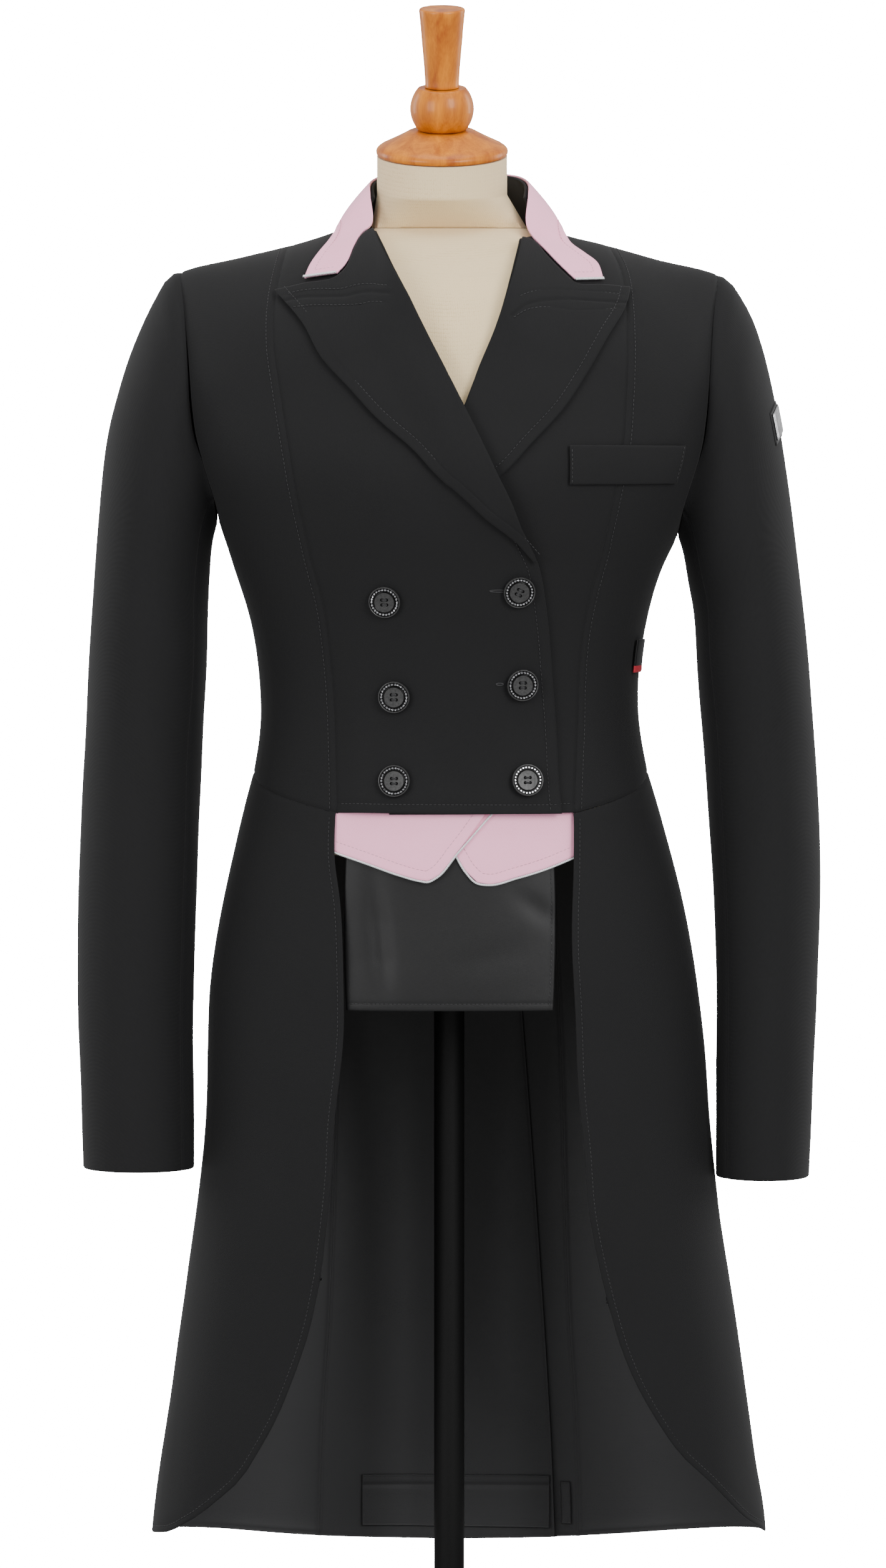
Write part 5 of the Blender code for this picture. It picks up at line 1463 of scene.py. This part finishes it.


# Buttons: a satin disc with four sewn holes, coloured near-black as painted shade, inside a ring of
# dark faceted crystals whose colour holds painted glints
BUTTONS = (("button_top_right", 45.3, 761, 0.5, 0), ("button_top_left", -48.8, 768, 0.5, -26),
           ("button_middle_right", 38.6, 692.5, 1.1, 0), ("button_middle_left", -51, 701, 1.1, 0),
           ("button_waist_right", 38.6, 631.5, 1.1, 0), ("button_waist_left", -54.6, 632, 1.1, 0))
BUTTON_RIM = ((9.9, 0.1), (10.6, 0.15), (11.3, 0.6), (11.5, 1.4), (11.4, 2.5), (11.1, 2.9),
              (10.8, 2.95), (10.5, 2.7), (10.4, 2.1), (7.9, 2.1), (7.8, 2.6), (7.5, 2.75),
              (7.2, 2.55), (7.0, 2.2), (3.6, 2.05), (0.01, 2.0))
TROUGH = (7.3, 10.45)       # the crystals stand in a black trough between these radii, in mm
CRYSTALS = 26
CRYSTAL_RING = 9.15
CRYSTAL_SIZE = 1.02
CRYSTAL_FOOT = 1.75
HOLE_PLACE = 1.8
HOLE_SIZE = 1.15
HOLE_SIDES = 14
BRIDGE_RADIUS = 0.28        # of the four threads that run between the holes
BRIDGE_SIDES = 8
BRIDGE_RISE = 0.55


def crystal(verts, faces, across, ahead):
    """Add one cut stone: a flat table, a ring of slanting facets and a girdle."""
    first = len(verts)
    for radius, height, skew in ((0.5, 1.75, 0.0), (1.0, 1.1, 0.5), (1.0, 0.2, 0.5)):
        centre = (across, ahead, CRYSTAL_FOOT + CRYSTAL_SIZE * (height - 0.7))
        verts.extend(ring(centre, EAST, NORTH, CRYSTAL_SIZE * radius, 6, skew))
    faces.append(round_face(first, 6))
    for j in range(first, first + 6):
        k = first + (j + 1 - first) % 6
        faces += [(j, j + 6, k), (k, j + 6, k + 6), (j + 6, j + 12, k + 12, k + 6)]


def button_stones():
    """Give a button's ring of crystals in millimetres, round its own centre."""
    verts = []
    faces = []
    for across, ahead, _ in ring(np.zeros(3), EAST, NORTH, CRYSTAL_RING, CRYSTALS):
        crystal(verts, faces, across, ahead)
    return verts, faces


def button_holes():
    """Give a button's four sunk holes in millimetres, each a shallow dish that takes a near-black
    painted shade.
    """
    verts = []
    faces = []
    for across, ahead, _ in ring(np.zeros(3), EAST, NORTH, HOLE_PLACE * math.sqrt(2), 4, 0.5):
        first = len(verts)
        for radius, level in ((1.0, 2.25), (0.75, 2.3), (0.35, 2.1)):
            verts.extend(ring((across, ahead, level), EAST, NORTH, HOLE_SIZE * radius, HOLE_SIDES))
        faces += ring_faces(first, 3, HOLE_SIDES)
        faces.append(round_face(len(verts) - HOLE_SIDES, HOLE_SIDES))
    return verts, faces


def button_bridges():
    """Give the arched threads between a button's holes, two strands a pair of holes."""
    verts = []
    faces = []
    for row in (-1, 1):
        for strand in (-0.3, 0.3):
            first = len(verts)
            for share in np.linspace(-1, 1, 9):
                centre = (share * HOLE_PLACE, row * HOLE_PLACE + strand,
                          2.15 + BRIDGE_RISE * (1 - share ** 2))
                verts.extend(ring(centre, NORTH, UP, BRIDGE_RADIUS, BRIDGE_SIDES))
            faces += ring_faces(first, 9, BRIDGE_SIDES)
    return verts, faces


for name, across, height, gap, askew in BUTTONS:
    plan = plan_at("right", False, across * MM, height * MM)
    place = raised(plan, overlap_rise(plan) + gap * MM)
    normal = Vector(body_normals(plan))
    right = normal.cross(Vector(UP)).normalized()
    turn = Matrix((-right, -normal.cross(right), normal)).transposed()
    turn = turn @ Matrix.Rotation(math.radians(askew), 3, "Z")
    disc = lathe(f"{name}_disc", BUTTON_RIM, 72, GUNMETAL, place, turn)
    disc.data.materials.append(BLACK_METAL)
    for face in disc.data.polygons:
        local = turn.inverted() @ (face.center - Vector(place)) / MM
        if TROUGH[0] < math.hypot(local.x, local.y) < TROUGH[1]:
            face.material_index = 1
    settle(disc, name)
    stones, stone_faces = button_stones()
    holes, hole_faces = button_holes()
    bridges, bridge_faces = button_bridges()
    bridge_faces = [tuple(len(holes) + k for k in face) for face in bridge_faces]
    for part, verts, faces, looks in (
            ("stones", stones, stone_faces, (CRYSTAL_GLINTS,)),
            ("thread", holes + bridges, hole_faces + bridge_faces, (HOLE_SHADE, BLACK_THREAD))):
        made = solid(f"{name}_{part}", np.array(verts) * MM @ np.array(turn).T + place, faces, *looks)
        if part == "thread":
            for face in made.data.polygons[len(hole_faces):]:
                face.material_index = 1
        settle(made)

# Worked buttonholes beside the left row: a slit between two corded lips
BUTTONHOLES = ((34.5, 768.5, 12.0), (35.5, 701.5, 5.0))
for index, (across, height, long) in enumerate(BUTTONHOLES):
    turns = np.linspace(0, 2 * np.pi, 41)
    plan = plan_at("left", False, (across + long / 2 * np.cos(turns)) * MM,
                   (height + 0.75 * np.sin(turns)) * MM)
    points = raised(plan, overlap_rise(plan) + 0.1 * MM)
    data = bpy.data.curves.new(f"buttonhole_{index}", "CURVE")
    data.dimensions = "3D"
    data.bevel_depth = 0.42 * MM
    data.bevel_resolution = 2
    spline = data.splines.new("POLY")
    spline.points.add(len(points) - 2)
    for target, point in zip(spline.points, points[:-1]):
        target.co = (*point, 1)
    spline.use_cyclic_u = True
    data.materials.append(BLACK_THREAD)
    settle(put(f"buttonhole_{index}", data))

# Dress form: insets keep it clear of the cloth, and it ends in flat sides at the arms
FORM = table("height inset", ((560, 9.5), (640, 9.0), (690, 6), (760, 5.5), (900, 5.2), (1040, 5)))
FORM_DROP = 6.0 * MM        # the form's shoulder line lies this far under the coat's
FORM_FLOOR = 578 * MM
FORM_TOP = 1026 * MM
FORM_HEIGHTS = tuple(np.concatenate((np.linspace(578, 612, 12), np.linspace(618, 970, 60),
                                     np.linspace(972, 1026, 40))))
NECK_FRONT_CAP = 1034 * MM  # the chest runs back into the neck from these heights
NECK_BACK_CAP = 1050 * MM
FORM_HALF_STEPS = 40
FORM_THINNEST = 1.5 * MM    # half thickness left at the ends of the shoulders
TIP_HEIGHT = 994 * MM
ARM_PLATE_GAP = 2.5 * MM


def form_reach(side, height):
    """Half width of the form: the body's, a flat plate at the arms, or the shoulder's."""
    lifted = height + FORM_DROP
    inset = smooth(FORM["height"], FORM["inset"], height)
    wide = reach(side, np.array([height]))[0] - inset
    if height > UNDERARM[side] - 20 * MM:
        rise = np.clip((height - UNDERARM[side]) / (TIP_HEIGHT - UNDERARM[side]), 0, 1)
        share = smooth(ARMHOLE_RISE, ARMHOLE_SHARE, np.array([rise]))[0]
        wide = min(wide, share * reach(side, np.array([height]))[0] - ARM_PLATE_GAP)
    line = np.interp(-lifted, -SHOULDER[side], SHOULDER["across"])
    return min(wide, line)


def form_ring(height):
    """Give one level of the form, from side to side in front and then behind."""
    inset = smooth(FORM["height"], FORM["inset"], height)
    half = np.linspace(-1, 1, FORM_HALF_STEPS + 1) * math.pi / 2
    points = []
    for ahead in (True, False):
        for turn in (half if ahead else half[::-1]):
            side = "right" if turn < 0 else "left"
            across = form_reach(side, height) * math.sin(turn)
            wide = reach(side, np.array([height]))[0]
            deep = smooth(SECTIONS["height"], SECTIONS["front" if ahead else "back"], height)
            share = min(abs(across) / (wide - inset), 1)
            plan_depth = (1 - share ** SECTION_POWER) ** (1 / SECTION_POWER)
            cap = NECK_FRONT_CAP if ahead else NECK_BACK_CAP
            top = min(shoulder_height(side, across), cap)
            drop = np.clip((top - FORM_DROP - height) / (FRONT_FALL if ahead else BACK_FALL), 0, 1)
            along = (deep - inset) * plan_depth * math.sqrt(1 - (1 - drop) ** 2)
            along = max(along, FORM_THINNEST)
            points.append((across, -along if ahead else along, height))
    return points


rings = [form_ring(height * MM) for height in FORM_HEIGHTS]
foot = np.array(rings[0])
rings[0] = [tuple(point) for point in foot * np.array((0.96, 0.94, 1))]


def knit_body(name, rings, replaced):
    """Close a stack of rings, top to bottom, as a knit-covered body with UV in metres."""
    grid = np.array(rings)[::-1]
    grid = np.concatenate((grid, grid[:, :1]), axis=1)
    around = lengths_along(grid, 1)
    uv = np.stack((around, lengths_along(grid, 0)), axis=-1)
    centre = grid.mean(axis=(0, 1))
    made = grid_mesh(name, grid, (grid - centre) * np.array((1, 1, 0.001)), uv)
    mesh = made.data
    top_ring = list(range(grid.shape[1] - 1))
    low = (grid.shape[0] - 1) * grid.shape[1]
    work = bmesh.new()
    work.from_mesh(mesh)
    work.verts.ensure_lookup_table()
    for ring in (top_ring, [low + j for j in top_ring]):
        work.faces.new([work.verts[j] for j in ring])
    bmesh.ops.remove_doubles(work, verts=work.verts, dist=0.00001)
    bmesh.ops.recalc_face_normals(work, faces=work.faces)
    work.to_mesh(mesh)
    work.free()
    mesh.materials.append(JERSEY)
    mesh.shade_smooth()
    mesh.set_sharp_from_angle(angle=math.radians(50))
    settle(made, replaced)


knit_body("form_torso_knit", rings, "form_torso")

NECK_CENTRE = Vector((-5.2, 2, 1079)) * MM
NECK_RADIUS = 47 * MM
NECK_GAP = 0.3 * MM
NECK_ROUNDING = 2.2         # how soon the neck becomes round above the shoulders
lean = Matrix.Rotation(NECK_TILT, 4, "X")


def neck_ring(base, share):
    """Blend the torso's top outline into the tilted circle under the cap."""
    ring = []
    for j, point in enumerate(base):
        half = FORM_HALF_STEPS + 1
        turn = (j % half) / FORM_HALF_STEPS * math.pi - math.pi / 2
        facing = -1 if j < half else 1
        circle = Vector((-facing * math.sin(turn), facing * math.cos(turn), 0)) * NECK_RADIUS
        circle = lean @ (circle - Vector((0, 0, NECK_GAP))) + NECK_CENTRE
        start = Vector(point) + Vector((0, 0, NECK_GAP))
        shape = min(1, share * NECK_ROUNDING)
        place = start.lerp(circle, shape)
        place.z = start.z + (circle.z - start.z) * share
        ring.append(tuple(place))
    return ring


base = form_ring(FORM_TOP)
neck_shares = np.linspace(0, 1, 40)
knit_body("form_neck_knit", [neck_ring(base, share) for share in neck_shares], "form_neck")

# Turned beech on the neck: cap, ball and post, along the leaning axis
CAP_PROFILE = ((0.01, 18.1), (12, 18.1), (21, 18.1), (23.2, 17.8), (25, 17), (28, 15.3),
               (32, 13.2), (36, 11.1), (40, 9.2), (44, 7.2), (46.3, 5.6), (47.4, 4.1), (47.7, 3),
               (47.5, 1.7), (47, 0.7), (45.4, 0.1), (30, 0), (0.01, 0))
BALL_CENTRE = 33.8
BALL_RADIUS = 23
BALL_CUT = 0.85             # the ball is cut flat where its turn is this far from the poles
BALL_TURNS = np.linspace(BALL_CUT, math.pi - BALL_CUT, 25)
BALL_PROFILE = ([(0.01, 49.0), (16.2, 49.0)]
                + [(BALL_RADIUS * math.sin(t), BALL_CENTRE + BALL_RADIUS * math.cos(t))
                   for t in BALL_TURNS] + [(16.2, 18.6), (0.01, 18.6)])
POST_PROFILE = ((0.01, 106.4), (10, 106.5), (14.6, 106.8), (15.8, 106.7), (16.5, 106), (16.6, 105),
                (16.2, 101), (15.4, 93), (14.7, 84), (13.8, 74), (13, 65), (12.5, 57), (12.2, 52),
                (12.6, 50.2), (12.2, 49.5), (0.01, 49.5))
turn = Matrix.Rotation(NECK_TILT, 3, "X")
for name, profile in (("form_cap", CAP_PROFILE), ("form_ball", BALL_PROFILE),
                      ("form_post", POST_PROFILE)):
    settle(lathe(f"{name}_beech", profile, 96, BEECH, NECK_CENTRE, turn, 50), name)

# Pole and base: black powder-coated steel, the base with a bevelled rim
pole_top = FORM_FLOOR / MM - 0.3
pole_foot = BASE_HEIGHT / MM + 0.3
pole = POLE_RADIUS / MM
POLE = ((0.01, pole_top), (pole - 0.6, pole_top), (pole, pole_top - 0.6), (pole, pole_foot + 0.6),
        (pole - 0.6, pole_foot), (0.01, pole_foot))
rim = BASE_RADIUS / MM
top = BASE_HEIGHT / MM
PLATE = ((0.01, top), (60, top), (rim - 4, top), (rim - 2, top - 0.6), (rim - 0.6, top - 2),
         (rim, top - 4), (rim, 1), (rim - 0.8, 0), (0.01, 0))
for name, profile, sides in (("stand_pole", POLE, 64), ("stand_base", PLATE, 128)):
    settle(lathe(f"{name}_steel", profile, sides, STEEL, (0, 0, 0)), name)
